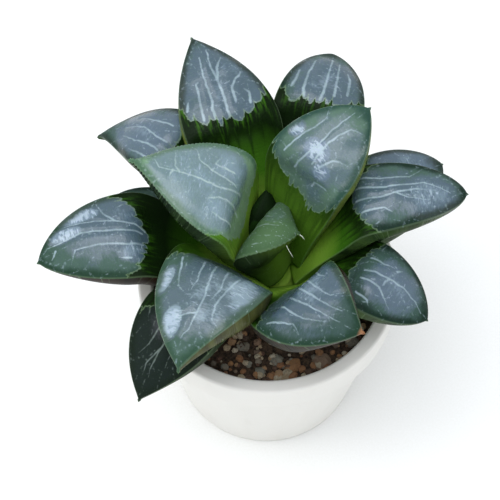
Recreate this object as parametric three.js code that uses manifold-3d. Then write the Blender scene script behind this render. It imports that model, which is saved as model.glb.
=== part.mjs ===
// Potted haworthia: a stemless rosette of thick windowed leaves on a short stock, in a round pot of soil.
// Millimetres, +Z up. The origin is the centre of the pot's flat underside.
import * as THREE from "three";
import { mergeVertices } from "three/addons/utils/BufferGeometryUtils.js";
import Module from "manifold-3d";

const wasm = await Module();
wasm.setup();

// ---- Driving dimensions ----

const GAP = 0.3; // clearance between pieces that touch
const LEAF_GAP = 0.4; // clearance between leaves that press on each other
const SECTORS = 40; // sides of the pot and the soil

// The pot: a small moulded grower's pot with a deep rim band.
const POT_HEIGHT = 46;
const RIM_RADIUS = 30;
const RIM_BAND = 8; // height of the rim band
const RIM_STEP = 1.6; // how far the band stands out from the wall
const POT_WALL = 1.8;
const POT_FLOOR = 2.6;
const BASE_RADIUS = 22;
const BASE_CHAMFER = 1;
const RIM_CHAMFER = 0.6; // at the rim's lip and at the band's lower edge
const DRAIN_HOLES = 4;
const DRAIN_RADIUS = 2.5;
const DRAIN_CIRCLE = 14; // radius of the circle that the drainage holes stand on
const DRAIN_SIDES = 16;

// The soil: a gritty mix with loose grains on top.
const SOIL_TOP = 39;
const SOIL_RISE = 1.2; // how much the soil rises towards the stock
const GRAINS = 40;
const GRAIN_SMALL = 1.1;
const GRAIN_LARGE = 2.4;
const GRAIN_CLEAR = 10; // the grains keep this far from the pot's axis
const GRAIN_SUNK = 0.2; // how far a grain's middle is below the soil's top, as a share of its size
const GRAIN_FLATNESS = 0.8; // height of a grain, as a share of its width
const GRAIN_STRAY = 0.3; // how far a grain strays from its even place, in radians
const GRAIN_SEED = 7;

// The stock that carries the leaves, and its roots.
const CROWN = 52; // height of the growing point
const STOCK_PROFILE = [
  // radius, height above the growing point
  [0, -20],
  [3.2, -20],
  [5.6, -14],
  [7.2, -8],
  [5.6, -4],
  [3.6, -1],
  [1.6, 0.6],
  [0, 0.8],
];
const STOCK_SIDES = 16;
const ROOTS = 5;
const ROOT_RADIUS = 1.5;
const ROOT_REACH = 15; // how far a root spreads
const ROOT_DROP = 14; // how far a root goes down
const ROOT_TOP = -15; // where the roots leave the stock, above the growing point
const ROOT_ELBOW = 0.8; // where a root turns down, as a share of its reach
const ROOT_SIDES = 6;
const ROOT_STEPS = 4;

// The leaves, from the centre outwards. Angles are in degrees, lengths in millimetres.
//   azimuth: direction that the leaf grows in, from +X towards +Y
//   lean: angle of the blade from the vertical
//   blade: length of the blade, from its root to the edge of its window
//   bend: angle that the leaf turns outwards at the window
//   window, width: length and greatest width of the triangular window
//   twist: how much the leaf rolls about its length by its tip
//   sweep: how much its azimuth turns by its tip
//   droop: further bend along the window
//   taper: shape of the tip, from 0.6 for a blunt one to 1.4 for a drawn-out one
//   depth: thickness at the window's edge, as a share of the width
//   root: radius and height of the root, the height from the growing point
const LEAVES = [
  { name: "m", azimuth: -27, lean: -22, blade: 15, bend: 84, window: 10, width: 19, twist: -18, sweep: 13,
    droop: 30, taper: 0.95, depth: 0.32, root: [1, -1], tint: "young" },
  { name: "n", azimuth: 92, lean: 22, blade: 9, bend: 8, window: 9.2, width: 10, twist: 55, sweep: 0,
    droop: 6, taper: 0.7, depth: 0.3, root: [0.5, -0.5], tint: "shaded" },
  { name: "c", azimuth: 163, lean: 6, blade: 25.5, bend: 60, window: 24, width: 22.5, twist: -5, sweep: 8,
    droop: 13, taper: 1.3, depth: 0.42, root: [3.5, -0.5], tint: "young" },
  { name: "f", azimuth: 45, lean: 12, blade: 28.5, bend: 49, window: 19, width: 20.5, twist: 11, sweep: -10,
    droop: 8, taper: 0.8, depth: 0.42, root: [4, -1], tint: "inner" },
  { name: "k", azimuth: 225, lean: 29, blade: 22.5, bend: 51, window: 26, width: 24, twist: 9, sweep: 40,
    droop: 19, taper: 1.2, depth: 0.42, root: [4, -1.5], tint: "inner" },
  { name: "d", azimuth: 109, lean: 34, blade: 31, bend: 43, window: 24, width: 22, twist: -2, sweep: 7,
    droop: 8, taper: 1, depth: 0.42, root: [4.5, -2], tint: "inner" },
  { name: "a", azimuth: 183, lean: 47, blade: 31, bend: 38, window: 23, width: 20.5, twist: -10, sweep: 18,
    droop: 22, taper: 0.75, depth: 0.42, root: [5, -3], tint: "middle" },
  { name: "j", azimuth: -82, lean: 33, blade: 26.5, bend: 21, window: 19.5, width: 21.5, twist: 27, sweep: 58,
    droop: 39, taper: 1, depth: 0.42, root: [5, -3], tint: "middle" },
  { name: "g", azimuth: 11, lean: 29, blade: 28.5, bend: 51, window: 24, width: 17, twist: 6, sweep: -9,
    droop: 22, taper: 0.6, depth: 0.45, root: [5, -3.5], tint: "middle" },
  { name: "b", azimuth: 134, lean: 39, blade: 33.5, bend: 70, window: 24, width: 18, twist: -7, sweep: 27,
    droop: 21, taper: 1.4, depth: 0.42, root: [6, -4.5], tint: "outer" },
  { name: "e", azimuth: 65, lean: 42, blade: 34, bend: 46, window: 19, width: 20.5, twist: 8, sweep: 17,
    droop: 20, taper: 0.6, depth: 0.42, root: [6, -4.5], tint: "middle" },
  { name: "i", azimuth: -24, lean: 38, blade: 25, bend: 69, window: 17.5, width: 17.5, twist: 1, sweep: -10,
    droop: 13, taper: 0.7, depth: 0.42, root: [6.5, -5.5], tint: "outer" },
  { name: "h", azimuth: 29, lean: 58, blade: 24.5, bend: 27, window: 18, width: 20, twist: 9, sweep: 0,
    droop: 11, taper: 0.65, depth: 0.4, root: [7, -6], tint: "outer" },
  { name: "q", azimuth: 97, lean: 60, blade: 20, bend: 26, window: 16, width: 18, twist: 0, sweep: 0,
    droop: 8, taper: 0.8, depth: 0.4, root: [7, -6], tint: "outer" },
  { name: "p", azimuth: 160, lean: 63, blade: 19, bend: 14, window: 15, width: 18.5, twist: 1, sweep: 0,
    droop: 6, taper: 0.6, depth: 0.4, root: [7, -6.5], tint: "outer" },
  { name: "l", azimuth: 224, lean: 46, blade: 26.5, bend: 60, window: 20.5, width: 19, twist: -4, sweep: 22,
    droop: 16, taper: 1, depth: 0.42, root: [7, -6.5], tint: "oldest" },
];

// What all the leaves share.
const BEND_LENGTH = 9; // stretch over which a leaf bends at its window
const ROLL_STRETCH = 1.9; // the faces turn this much more gently than the midrib
const ROOT_WIDTH = 0.6; // width at the root, as a share of the full width
const ROOT_DEPTH = 3.5;
const WINDOW_CROWN = 2; // how high the window bulges
const CROWN_RUN = [-3, 7]; // where the bulge starts, from the window's edge, and how long it takes to rise
const BLADE_HOLLOW = 0.8; // how deep the blade is dished
const HOLLOW_END = [-4, 5]; // where the dish starts to run out, from the window's edge, and how long it takes
const WINDOW_FULLNESS = 2.1; // above 1 the window stays broad before it narrows
const DEPTH_FULLNESS = 0.9; // below 1 the depth stays full before the tip
const BACK_BULGE = 0.1; // how far the back swells past the margins, as a share of the half-width
const BACK_FULLNESS = 0.8; // below 1 the back is boxy, at 1 it is an ellipse
const TIP_DEPTH = 0.8;
const TIP_HALF_WIDTH = 0.35;
const STATIONS = 20;
const STATION_GRADING = 1.25; // above 1 the stations draw together towards the tip
const FACE_STEPS = 6;
const BACK_STEPS = 6;

// ---- Materials ----

const finish = (color, roughness) =>
  new THREE.MeshStandardMaterial({ color, roughness, metalness: 0 });
const LEAF_FINISH = {
  young: finish("#6f8f78", 0.35),
  shaded: finish("#1f3a14", 0.5),
  inner: finish("#587670", 0.3),
  middle: finish("#4d6a68", 0.3),
  outer: finish("#43605e", 0.35),
  oldest: finish("#2b3832", 0.4),
};
const STOCK_FINISH = finish("#a99a6a", 0.8);
const SOIL_FINISH = finish("#4a3b2e", 0.95);
const POT_FINISH = finish("#e9e8e4", 0.45);

// ---- Solids ----

// A closed geometry as a solid that can be cut and joined.
function solid(geometry) {
  const shell = geometry.clone();
  shell.deleteAttribute("normal");
  shell.deleteAttribute("uv");
  const merged = mergeVertices(shell, 1e-4);
  return new wasm.Manifold(
    new wasm.Mesh({
      numProp: 3,
      vertProperties: new Float32Array(merged.attributes.position.array),
      triVerts: new Uint32Array(merged.index.array),
    }),
  );
}

// A solid as a geometry with flat faces.
function geometryOf(body) {
  const { vertProperties, triVerts } = body.getMesh();
  const geometry = new THREE.BufferGeometry();
  geometry.setAttribute("position", new THREE.BufferAttribute(vertProperties, 3));
  geometry.setIndex(new THREE.BufferAttribute(triVerts, 1));
  geometry.computeVertexNormals();
  return geometry;
}

// The largest body of a solid; the scraps that a cut leaves are dropped.
function largest(body) {
  return body.decompose().reduce((a, b) => (b.volume() > a.volume() ? b : a));
}

function mesh(name, body, material) {
  const made = new THREE.Mesh(geometryOf(body), material);
  made.name = name;
  return made;
}

// A figure turned about Z from a profile of [radius, height] points, the lowest first.
function turned(profile, sides) {
  const points = profile.map(([radius, height]) => new THREE.Vector2(radius, height));
  return new THREE.LatheGeometry(points, sides).rotateX(Math.PI / 2);
}

// A seeded draw between 0 and 1, so that the grains fall the same way each time.
function seeded(seed) {
  let state = seed;
  return () => {
    state = (state * 1664525 + 1013904223) % 4294967296;
    return state / 4294967296;
  };
}

// ---- Leaves ----

const radians = THREE.MathUtils.degToRad;
const smooth = (t) => THREE.MathUtils.smoothstep(t, 0, 1);

// The angle from the vertical of the leaf's midrib, at a distance from its root.
function tilt(leaf, distance, stretch) {
  const length = BEND_LENGTH * stretch;
  const start = leaf.blade - 1 - length / 2;
  const along = (distance - leaf.blade) / leaf.window;
  return radians(leaf.lean + leaf.bend * smooth((distance - start) / length) + leaf.droop * smooth(along));
}

// The leaf's direction, width direction and face normal at a distance from its root.
function directions(leaf, distance) {
  const share = distance / (leaf.blade + leaf.window);
  const heading = radians(leaf.azimuth + leaf.sweep * share ** 1.5);
  const pointing = (angle) =>
    new THREE.Vector3(
      Math.sin(angle) * Math.cos(heading),
      Math.sin(angle) * Math.sin(heading),
      Math.cos(angle),
    );
  const tangent = pointing(tilt(leaf, distance, 1));
  const across = new THREE.Vector3(-Math.sin(heading), Math.cos(heading), 0);
  const rolled = pointing(tilt(leaf, distance, ROLL_STRETCH));
  const normal = new THREE.Vector3().crossVectors(rolled, across);
  const roll = radians(leaf.twist * smooth(share));
  across.applyAxisAngle(rolled, roll);
  normal.applyAxisAngle(rolled, roll);
  return { tangent, across, normal };
}

// The leaf's half-width, depth and the bulge of its face at a distance from its root.
function section(leaf, distance) {
  const half = leaf.width / 2;
  const onBlade = THREE.MathUtils.clamp(distance / leaf.blade, 0, 1);
  const onWindow = THREE.MathUtils.clamp((distance - leaf.blade) / leaf.window, 0, 1);
  const spread = ROOT_WIDTH + (1 - ROOT_WIDTH) * smooth(onBlade);
  const narrowing = (1 - onWindow ** WINDOW_FULLNESS) ** leaf.taper;
  const shoulderDepth = leaf.width * leaf.depth;
  const depth = ROOT_DEPTH + (shoulderDepth - ROOT_DEPTH) * smooth(onBlade);
  const beyond = ([start, run]) => smooth((distance - leaf.blade - start) / run);
  const rise = beyond(CROWN_RUN) * Math.sqrt(1 - onWindow ** 2);
  const hollow = smooth(onBlade) * (1 - beyond(HOLLOW_END));
  return {
    half: Math.max(half * spread * narrowing, TIP_HALF_WIDTH),
    depth: depth * (1 - onWindow ** 2) ** DEPTH_FULLNESS + TIP_DEPTH,
    crown: WINDOW_CROWN * rise - BLADE_HOLLOW * hollow,
  };
}

// The closed outline of a leaf's section, in the plane of its width and its normal.
function outline({ half, depth, crown }, grow) {
  const points = [];
  for (let i = 0; i <= FACE_STEPS; i++) {
    const u = 1 - (2 * i) / FACE_STEPS;
    points.push([u * (half + grow), crown * (1 - u * u) + grow]);
  }
  for (let i = 1; i < BACK_STEPS; i++) {
    const angle = Math.PI - (Math.PI * i) / BACK_STEPS;
    const side = Math.sign(Math.cos(angle)) * Math.abs(Math.cos(angle)) ** BACK_FULLNESS;
    const below = Math.sin(angle) ** BACK_FULLNESS;
    const swell = 1 + BACK_BULGE * Math.sin(angle);
    points.push([side * swell * (half + grow), -below * (depth + grow)]);
  }
  return points;
}

// A leaf as a closed skin over its sections, grown by a clearance where it is to be cut out of another.
function leafGeometry(leaf, grow = 0) {
  const total = leaf.blade + leaf.window;
  const heading = radians(leaf.azimuth);
  const [rootRadius, rootHeight] = leaf.root;
  const place = new THREE.Vector3(
    rootRadius * Math.cos(heading),
    rootRadius * Math.sin(heading),
    CROWN + rootHeight,
  );
  const rings = [];
  let last = 0;
  for (let i = 0; i <= STATIONS; i++) {
    const distance = total * (1 - (1 - i / STATIONS) ** STATION_GRADING);
    const step = directions(leaf, (last + distance) / 2).tangent;
    place.addScaledVector(step, distance - last);
    last = distance;
    const { tangent, across, normal } = directions(leaf, distance);
    const slide = i === STATIONS ? grow : i === 0 ? -grow : 0;
    const ring = outline(section(leaf, distance), grow).map(([u, v]) =>
      place
        .clone()
        .addScaledVector(tangent, slide)
        .addScaledVector(across, u)
        .addScaledVector(normal, v),
    );
    rings.push(ring);
  }
  return skin(rings);
}

// The closed geometry over a row of rings with equally many points, its ends closed by fans.
function skin(rings) {
  const size = rings[0].length;
  const points = rings.flat();
  const faces = [];
  for (let i = 0; i + 1 < rings.length; i++) {
    for (let k = 0; k < size; k++) {
      const a = i * size + k;
      const b = i * size + ((k + 1) % size);
      faces.push(a, b, a + size, b, b + size, a + size);
    }
  }
  const middle = (ring) =>
    ring.reduce((sum, p) => sum.add(p), new THREE.Vector3()).divideScalar(size);
  const first = points.push(middle(rings[0])) - 1;
  const final = points.push(middle(rings.at(-1))) - 1;
  const start = (rings.length - 1) * size;
  for (let k = 0; k < size; k++) {
    const next = (k + 1) % size;
    faces.push(first, next, k);
    faces.push(final, start + k, start + next);
  }
  const geometry = new THREE.BufferGeometry().setFromPoints(points);
  return geometry.setIndex(faces);
}

// The leaves, each cut back to clear the stock and the leaves inside it.
function buildLeaves(stock) {
  const inside = [stock];
  return LEAVES.map((leaf) => {
    let body = solid(leafGeometry(leaf));
    for (const cutter of inside) body = body.subtract(cutter);
    inside.push(solid(leafGeometry(leaf, LEAF_GAP)));
    return mesh("leaf_" + leaf.name, largest(body), LEAF_FINISH[leaf.tint]);
  });
}

// ---- Stock, soil and pot ----

// A root: a tube that starts inside the stock, spreads and turns down.
function rootGeometry(index, grow) {
  const heading = (2 * Math.PI * index) / ROOTS;
  const out = new THREE.Vector3(Math.cos(heading), Math.sin(heading), 0);
  const start = new THREE.Vector3(0, 0, CROWN + ROOT_TOP);
  const elbow = start.clone().addScaledVector(out, ROOT_REACH * ROOT_ELBOW);
  const end = start.clone().addScaledVector(out, ROOT_REACH);
  end.z -= ROOT_DROP;
  const route = new THREE.QuadraticBezierCurve3(start, elbow, end);
  const round = new THREE.Shape().absarc(0, 0, ROOT_RADIUS + grow, 0, 2 * Math.PI);
  return new THREE.ExtrudeGeometry(round, {
    extrudePath: route,
    steps: ROOT_STEPS,
    curveSegments: ROOT_SIDES,
  });
}

// The stock with its roots, grown by a clearance where it is to be cut out of another.
function stockSolid(grow = 0) {
  const last = STOCK_PROFILE.length - 1;
  const profile = STOCK_PROFILE.map(([radius, height], i) => [
    radius + (i === 0 || i === last ? 0 : grow),
    CROWN + height + (i < 2 ? -grow : i > last - 2 ? grow : 0),
  ]);
  let body = solid(turned(profile, STOCK_SIDES));
  for (let i = 0; i < ROOTS; i++) body = body.add(solid(rootGeometry(i, grow)));
  return body;
}

// The radius of the pot's inner face at a height above the pot's foot.
function innerRadius(height) {
  const share = height / (POT_HEIGHT - RIM_BAND);
  return BASE_RADIUS - POT_WALL + (RIM_RADIUS - RIM_STEP - BASE_RADIUS) * Math.min(share, 1);
}

function soilSolid(stock) {
  const lowest = POT_FLOOR + GAP;
  const edge = innerRadius(SOIL_TOP) - GAP;
  const body = solid(
    turned(
      [
        [0, lowest],
        [innerRadius(lowest) - GAP, lowest],
        [innerRadius(POT_HEIGHT - RIM_BAND) - GAP, POT_HEIGHT - RIM_BAND],
        [edge, SOIL_TOP],
        [0, SOIL_TOP + SOIL_RISE],
      ],
      SECTORS,
    ),
  );
  return largest(body.add(grainsSolid(edge)).subtract(stock));
}

// Grains strewn evenly over the soil's top, each sunk halfway in.
function grainsSolid(edge) {
  const draw = seeded(GRAIN_SEED);
  const golden = Math.PI * (3 - Math.sqrt(5));
  const grains = [];
  for (let i = 0; i < GRAINS; i++) {
    const size = GRAIN_SMALL + (GRAIN_LARGE - GRAIN_SMALL) * draw();
    const radius = THREE.MathUtils.lerp(GRAIN_CLEAR, edge - GRAIN_LARGE, Math.sqrt((i + 0.5) / GRAINS));
    const angle = i * golden + GRAIN_STRAY * draw();
    const height = SOIL_TOP + SOIL_RISE * (1 - radius / edge) - GRAIN_SUNK * size;
    const grain = new THREE.IcosahedronGeometry(size, 0)
      .rotateX(draw() * Math.PI)
      .rotateZ(draw() * Math.PI)
      .scale(1, 1, GRAIN_FLATNESS)
      .translate(radius * Math.cos(angle), radius * Math.sin(angle), height);
    grains.push(solid(grain));
  }
  return grains.reduce((all, grain) => all.add(grain));
}

function potSolid() {
  const wallTop = POT_HEIGHT - RIM_BAND;
  const wallRadius = RIM_RADIUS - RIM_STEP;
  const inner = innerRadius(POT_HEIGHT);
  let body = solid(
    turned(
      [
        [0, 0],
        [BASE_RADIUS - BASE_CHAMFER, 0],
        [BASE_RADIUS, BASE_CHAMFER],
        [wallRadius, wallTop],
        [RIM_RADIUS - RIM_CHAMFER, wallTop],
        [RIM_RADIUS, wallTop + RIM_CHAMFER],
        [RIM_RADIUS, POT_HEIGHT - RIM_CHAMFER],
        [RIM_RADIUS - RIM_CHAMFER, POT_HEIGHT],
        [inner + RIM_CHAMFER, POT_HEIGHT],
        [inner, POT_HEIGHT - RIM_CHAMFER],
        [inner, wallTop],
        [innerRadius(POT_FLOOR), POT_FLOOR],
        [0, POT_FLOOR],
      ],
      SECTORS,
    ),
  );
  for (let i = 0; i < DRAIN_HOLES; i++) {
    const angle = (2 * Math.PI * (i + 0.5)) / DRAIN_HOLES;
    const drain = new THREE.CylinderGeometry(DRAIN_RADIUS, DRAIN_RADIUS, 3 * POT_FLOOR, DRAIN_SIDES)
      .rotateX(Math.PI / 2)
      .translate(DRAIN_CIRCLE * Math.cos(angle), DRAIN_CIRCLE * Math.sin(angle), 0);
    body = body.subtract(solid(drain));
  }
  return body;
}

// ---- Assembly ----

const stockClearance = stockSolid(GAP);

const plant = new THREE.Group();
plant.add(mesh("stem", stockSolid(), STOCK_FINISH));
plant.add(...buildLeaves(stockClearance));

const holder = new THREE.Group();
holder.add(mesh("soil", soilSolid(stockClearance), SOIL_FINISH));
holder.add(mesh("pot", potSolid(), POT_FINISH));

const pottedHaworthia = new THREE.Group();
pottedHaworthia.add(plant, holder);

export default pottedHaworthia;
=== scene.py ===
"""Potted haworthia: the visible plant, soil and pot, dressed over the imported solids, in a plain studio.

Sizes are in millimetres and angles in degrees until a mesh is made; MM turns them into metres. The leaves,
the stock and the pot repeat the dimensions of the part's own source, with finer skins and with what is only
seen: veins, the jagged edge of each window, dried tips, grit and the finish of every surface.
"""

import logging
import math
from dataclasses import dataclass, replace
from enum import Enum
from typing import Iterator, Sequence

import bmesh
import bpy
import numpy as np
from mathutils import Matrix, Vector


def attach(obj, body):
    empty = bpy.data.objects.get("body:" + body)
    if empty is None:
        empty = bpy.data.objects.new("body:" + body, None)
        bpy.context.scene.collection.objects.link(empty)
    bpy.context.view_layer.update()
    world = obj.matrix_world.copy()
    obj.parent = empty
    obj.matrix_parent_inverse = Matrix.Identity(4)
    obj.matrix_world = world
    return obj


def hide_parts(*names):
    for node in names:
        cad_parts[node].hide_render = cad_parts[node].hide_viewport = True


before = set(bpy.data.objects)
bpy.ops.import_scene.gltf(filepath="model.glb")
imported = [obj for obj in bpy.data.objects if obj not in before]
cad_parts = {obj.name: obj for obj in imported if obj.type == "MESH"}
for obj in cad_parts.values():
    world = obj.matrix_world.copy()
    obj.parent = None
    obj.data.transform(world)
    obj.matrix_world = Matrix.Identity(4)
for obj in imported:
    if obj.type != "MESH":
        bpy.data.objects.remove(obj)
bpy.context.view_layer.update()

LOG = logging.getLogger("haworthia")
MM = 0.001
BODY = "root"

CROWN = 52.0  # height of the rosette's growing point
POT_HEIGHT = 46.0
RIM_RADIUS = 30.0
RIM_BAND = 8.0  # height of the rim band
RIM_STEP = 1.6  # how far the band stands out from the wall
POT_WALL = 1.8
POT_FLOOR = 2.6
BASE_RADIUS = 22.0
GAP = 0.3  # clearance between the soil and the pot

Point = tuple[float, float]
Place = tuple[float, float, float]
Line = tuple[Point, ...]
Faces = list[Sequence[int]]
Socket = bpy.types.NodeSocket
Layer = tuple[Socket, str]  # how much of a colour is laid on, and the colour


# ---- Shared helpers ----


def linear(colour: str) -> tuple[float, float, float, float]:
    """Turns an sRGB hex colour such as "#6f8f78" into linear RGBA."""
    channels = [int(colour[i : i + 2], 16) / 255 for i in (1, 3, 5)]
    straight = [c / 12.92 if c <= 0.04045 else ((c + 0.055) / 1.055) ** 2.4 for c in channels]
    return (*straight, 1.0)


def smooth(value: np.ndarray | float) -> np.ndarray | float:
    """A soft step from 0 to 1 while the value goes from 0 to 1."""
    held = np.clip(value, 0, 1)
    return held * held * (3 - 2 * held)


def as_mesh(name: str, points: np.ndarray, faces: Sequence[Sequence[int]]) -> bpy.types.Object:
    """Makes a smooth-shaded object from points in millimetres.

    Args:
        name: name of the piece.
        points: array of shape (n, 3), in millimetres.
        faces: corner indices of each face, anticlockwise from outside.

    Returns:
        The object, linked to the scene.
    """
    mesh = bpy.data.meshes.new(name)
    mesh.from_pydata(np.asarray(points, float) * MM, [], faces)
    mesh.polygons.foreach_set("use_smooth", np.ones(len(mesh.polygons), bool))
    mesh.update()
    made = bpy.data.objects.new(name, mesh)
    bpy.context.scene.collection.objects.link(made)
    return made


def keep(made: bpy.types.Object, key: str, values: np.ndarray) -> None:
    """Keeps one number or one vector for each vertex, for the finish to read.

    Args:
        made: object whose mesh takes the values.
        key: name of the attribute.
        values: array of shape (n,) or (n, 3).
    """
    kind, slot = ("FLOAT", "value") if values.ndim == 1 else ("FLOAT_VECTOR", "vector")
    layer = made.data.attributes.new(key, kind, "POINT")
    layer.data.foreach_set(slot, np.ascontiguousarray(values, np.float32).ravel())


def ring_faces(rows: int, size: int) -> Faces:
    """The faces between rows of closed rings, and the two fans that close their ends.

    Args:
        rows: number of rings, each turning clockwise as seen from the last one.
        size: number of points in each ring.

    Returns:
        The corner indices of each face. The points of the first and the last fan follow those of the rings.
    """
    row, column = np.meshgrid(np.arange(rows - 1), np.arange(size), indexing="ij")
    a = row * size + column
    b = row * size + (column + 1) % size
    faces: Faces = np.stack([a, b, b + size, a + size], -1).reshape(-1, 4).tolist()
    first, final, last_ring = rows * size, rows * size + 1, (rows - 1) * size
    for k in range(size):
        following = (k + 1) % size
        faces += [(first, following, k), (final, last_ring + k, last_ring + following)]
    return faces


def turned(profile: Sequence[Point], sides: int) -> tuple[np.ndarray, Faces]:
    """Turns a profile about Z.

    Args:
        profile: (radius, height) points, from the axis round to the axis again.
        sides: number of points in each ring.

    Returns:
        The points and the faces of a closed figure.
    """
    angle = np.linspace(0, 2 * np.pi, sides, endpoint=False)
    rings = [
        np.stack([radius * np.cos(angle), radius * np.sin(angle), np.full(sides, height)], -1)
        for radius, height in profile[1:-1]
    ]
    points = np.concatenate([*rings, [[0, 0, profile[0][1]], [0, 0, profile[-1][1]]]])
    return points, ring_faces(len(rings), sides)


def along(points: Sequence[Point], step: float) -> list[Point]:
    """Divides the straight stretches of an outline into lengths of at most one step."""
    out = [points[0]]
    for (r0, z0), (r1, z1) in zip(points, points[1:]):
        count = max(1, math.ceil(math.hypot(r1 - r0, z1 - z0) / step))
        out += [(r0 + (r1 - r0) * i / count, z0 + (z1 - z0) * i / count) for i in range(1, count + 1)]
    return out


def rounded(corners: Sequence[Place], steps: int = 5) -> list[Point]:
    """Rounds the corners of an open outline with a curve that touches both sides.

    Args:
        corners: (radius, height, rounding) of each corner; a rounding of 0 leaves it sharp.
        steps: number of pieces in each round.

    Returns:
        The points of the rounded outline.
    """
    out: list[Point] = []
    for i, (r, z, rounding) in enumerate(corners):
        if rounding == 0:
            out.append((r, z))
            continue
        here = np.array([r, z])
        ends = [np.array(corners[j][:2]) - here for j in (i - 1, i + 1)]
        first, last = (here + rounding * end / np.linalg.norm(end) for end in ends)
        for t in np.linspace(0, 1, steps + 1):
            spot = (1 - t) ** 2 * first + 2 * t * (1 - t) * here + t * t * last
            out.append((float(spot[0]), float(spot[1])))
    return out


class Waves:
    """A smooth unevenness: the sum of plane waves with seeded directions and phases."""

    def __init__(self, seed: int, wavelength: float, count: int = 7) -> None:
        """Draws the waves.

        Args:
            seed: seed of the draw.
            wavelength: typical distance between two crests, in millimetres.
            count: number of waves.
        """
        draw = np.random.default_rng(seed)
        heading = draw.uniform(0, 2 * np.pi, count)
        stretch = draw.uniform(0.6, 1.5, count) * 2 * np.pi / wavelength
        self.pull = np.stack([np.cos(heading), np.sin(heading)], -1) * stretch[:, None]
        self.phase = draw.uniform(0, 2 * np.pi, count)

    def at(self, x: np.ndarray, y: np.ndarray) -> np.ndarray:
        """The height of the waves, mostly between -1 and 1, at places in millimetres."""
        turns = x[..., None] * self.pull[:, 0] + y[..., None] * self.pull[:, 1] + self.phase
        return np.sin(turns).sum(-1) / math.sqrt(len(self.phase))


# ---- Finishes ----


MIXED = {"out": "Result_Color", "data_type": "RGBA"}  # a Mix node for colours
EASED = {"out": "Result", "interpolation_type": "SMOOTHSTEP"}  # a Map Range node with soft ends


class Recipe:
    """A material and its node tree, which one method fills."""

    def __init__(self, name: str) -> None:
        """Makes an empty material with a Principled shader.

        Args:
            name: what the real material is called.
        """
        self.material = bpy.data.materials.new(name)
        self.material.use_nodes = True
        self.tree = self.material.node_tree
        self.tree.nodes.clear()
        self.shader = self.tree.nodes.new("ShaderNodeBsdfPrincipled")
        output = self.tree.nodes.new("ShaderNodeOutputMaterial")
        self.tree.links.new(self.shader.outputs[0], output.inputs["Surface"])

    def node(self, kind: str, inputs: dict[str, object], out: str = "", **settings: object) -> Socket:
        """Adds a node with its settings and links.

        Args:
            kind: Blender's name of the node, without "ShaderNode".
            inputs: value or socket for each input, by the input's identifier.
            out: identifier of the output to return; the first one if empty.
            settings: properties of the node itself; stops are (place, hex colour) pairs of a colour ramp.

        Returns:
            The chosen output.
        """
        made = self.tree.nodes.new("ShaderNode" + kind)
        for i, (place, colour) in enumerate(settings.pop("stops", ())):
            ramp = made.color_ramp.elements
            stop = ramp[i] if i < 2 else ramp.new(place)
            stop.position = place
            stop.color = linear(colour)
        for key, value in settings.items():
            setattr(made, key, value)
        self.fill(made, inputs)
        return next(s for s in made.outputs if s.identifier == out) if out else made.outputs[0]

    def fill(self, made: bpy.types.Node, inputs: dict[str, object]) -> None:
        """Sets or links the inputs of a node.

        Args:
            made: node that takes them.
            inputs: value or socket for each input, by the input's identifier.
        """
        for key, value in inputs.items():
            socket = next(s for s in made.inputs if s.identifier == key)
            if isinstance(value, Socket):
                self.tree.links.new(value, socket)
            else:
                socket.default_value = linear(value) if isinstance(value, str) else value


@dataclass(frozen=True)
class LeafMarks:
    """What a leaf's own attributes tell its finish about each place; distances are in millimetres."""

    place: Socket  # across the leaf, along it from its shoulder, and its back's flag
    back: Socket  # 0 on the face and 1 on the back
    vein: Socket  # distance to the nearest vein
    border: Socket  # distance inside the window's edge, negative below it
    margin: Socket  # distance to the leaf's margin
    to_tip: Socket  # distance to the tip
    reach: Socket  # distance from the plant's axis
    full: Socket  # strength of the painted reflection, which also sets how smooth the cuticle is

    @classmethod
    def read(cls, recipe: Recipe) -> "LeafMarks":
        """Adds the nodes that read the attributes.

        Args:
            recipe: material under way.

        Returns:
            The attributes' sockets.
        """
        node = recipe.node
        place, marks = (node("Attribute", {}, "Vector", attribute_name=key) for key in ("place", "marks"))
        back = node("SeparateXYZ", {"Vector": place}, "Z")
        split = node("SeparateXYZ", {"Vector": marks}, "X").node
        single = (node("Attribute", {}, "Fac", attribute_name=key) for key in ("to_tip", "reach", "full"))
        return cls(place, back, *(split.outputs[axis] for axis in "XYZ"), *single)


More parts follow.
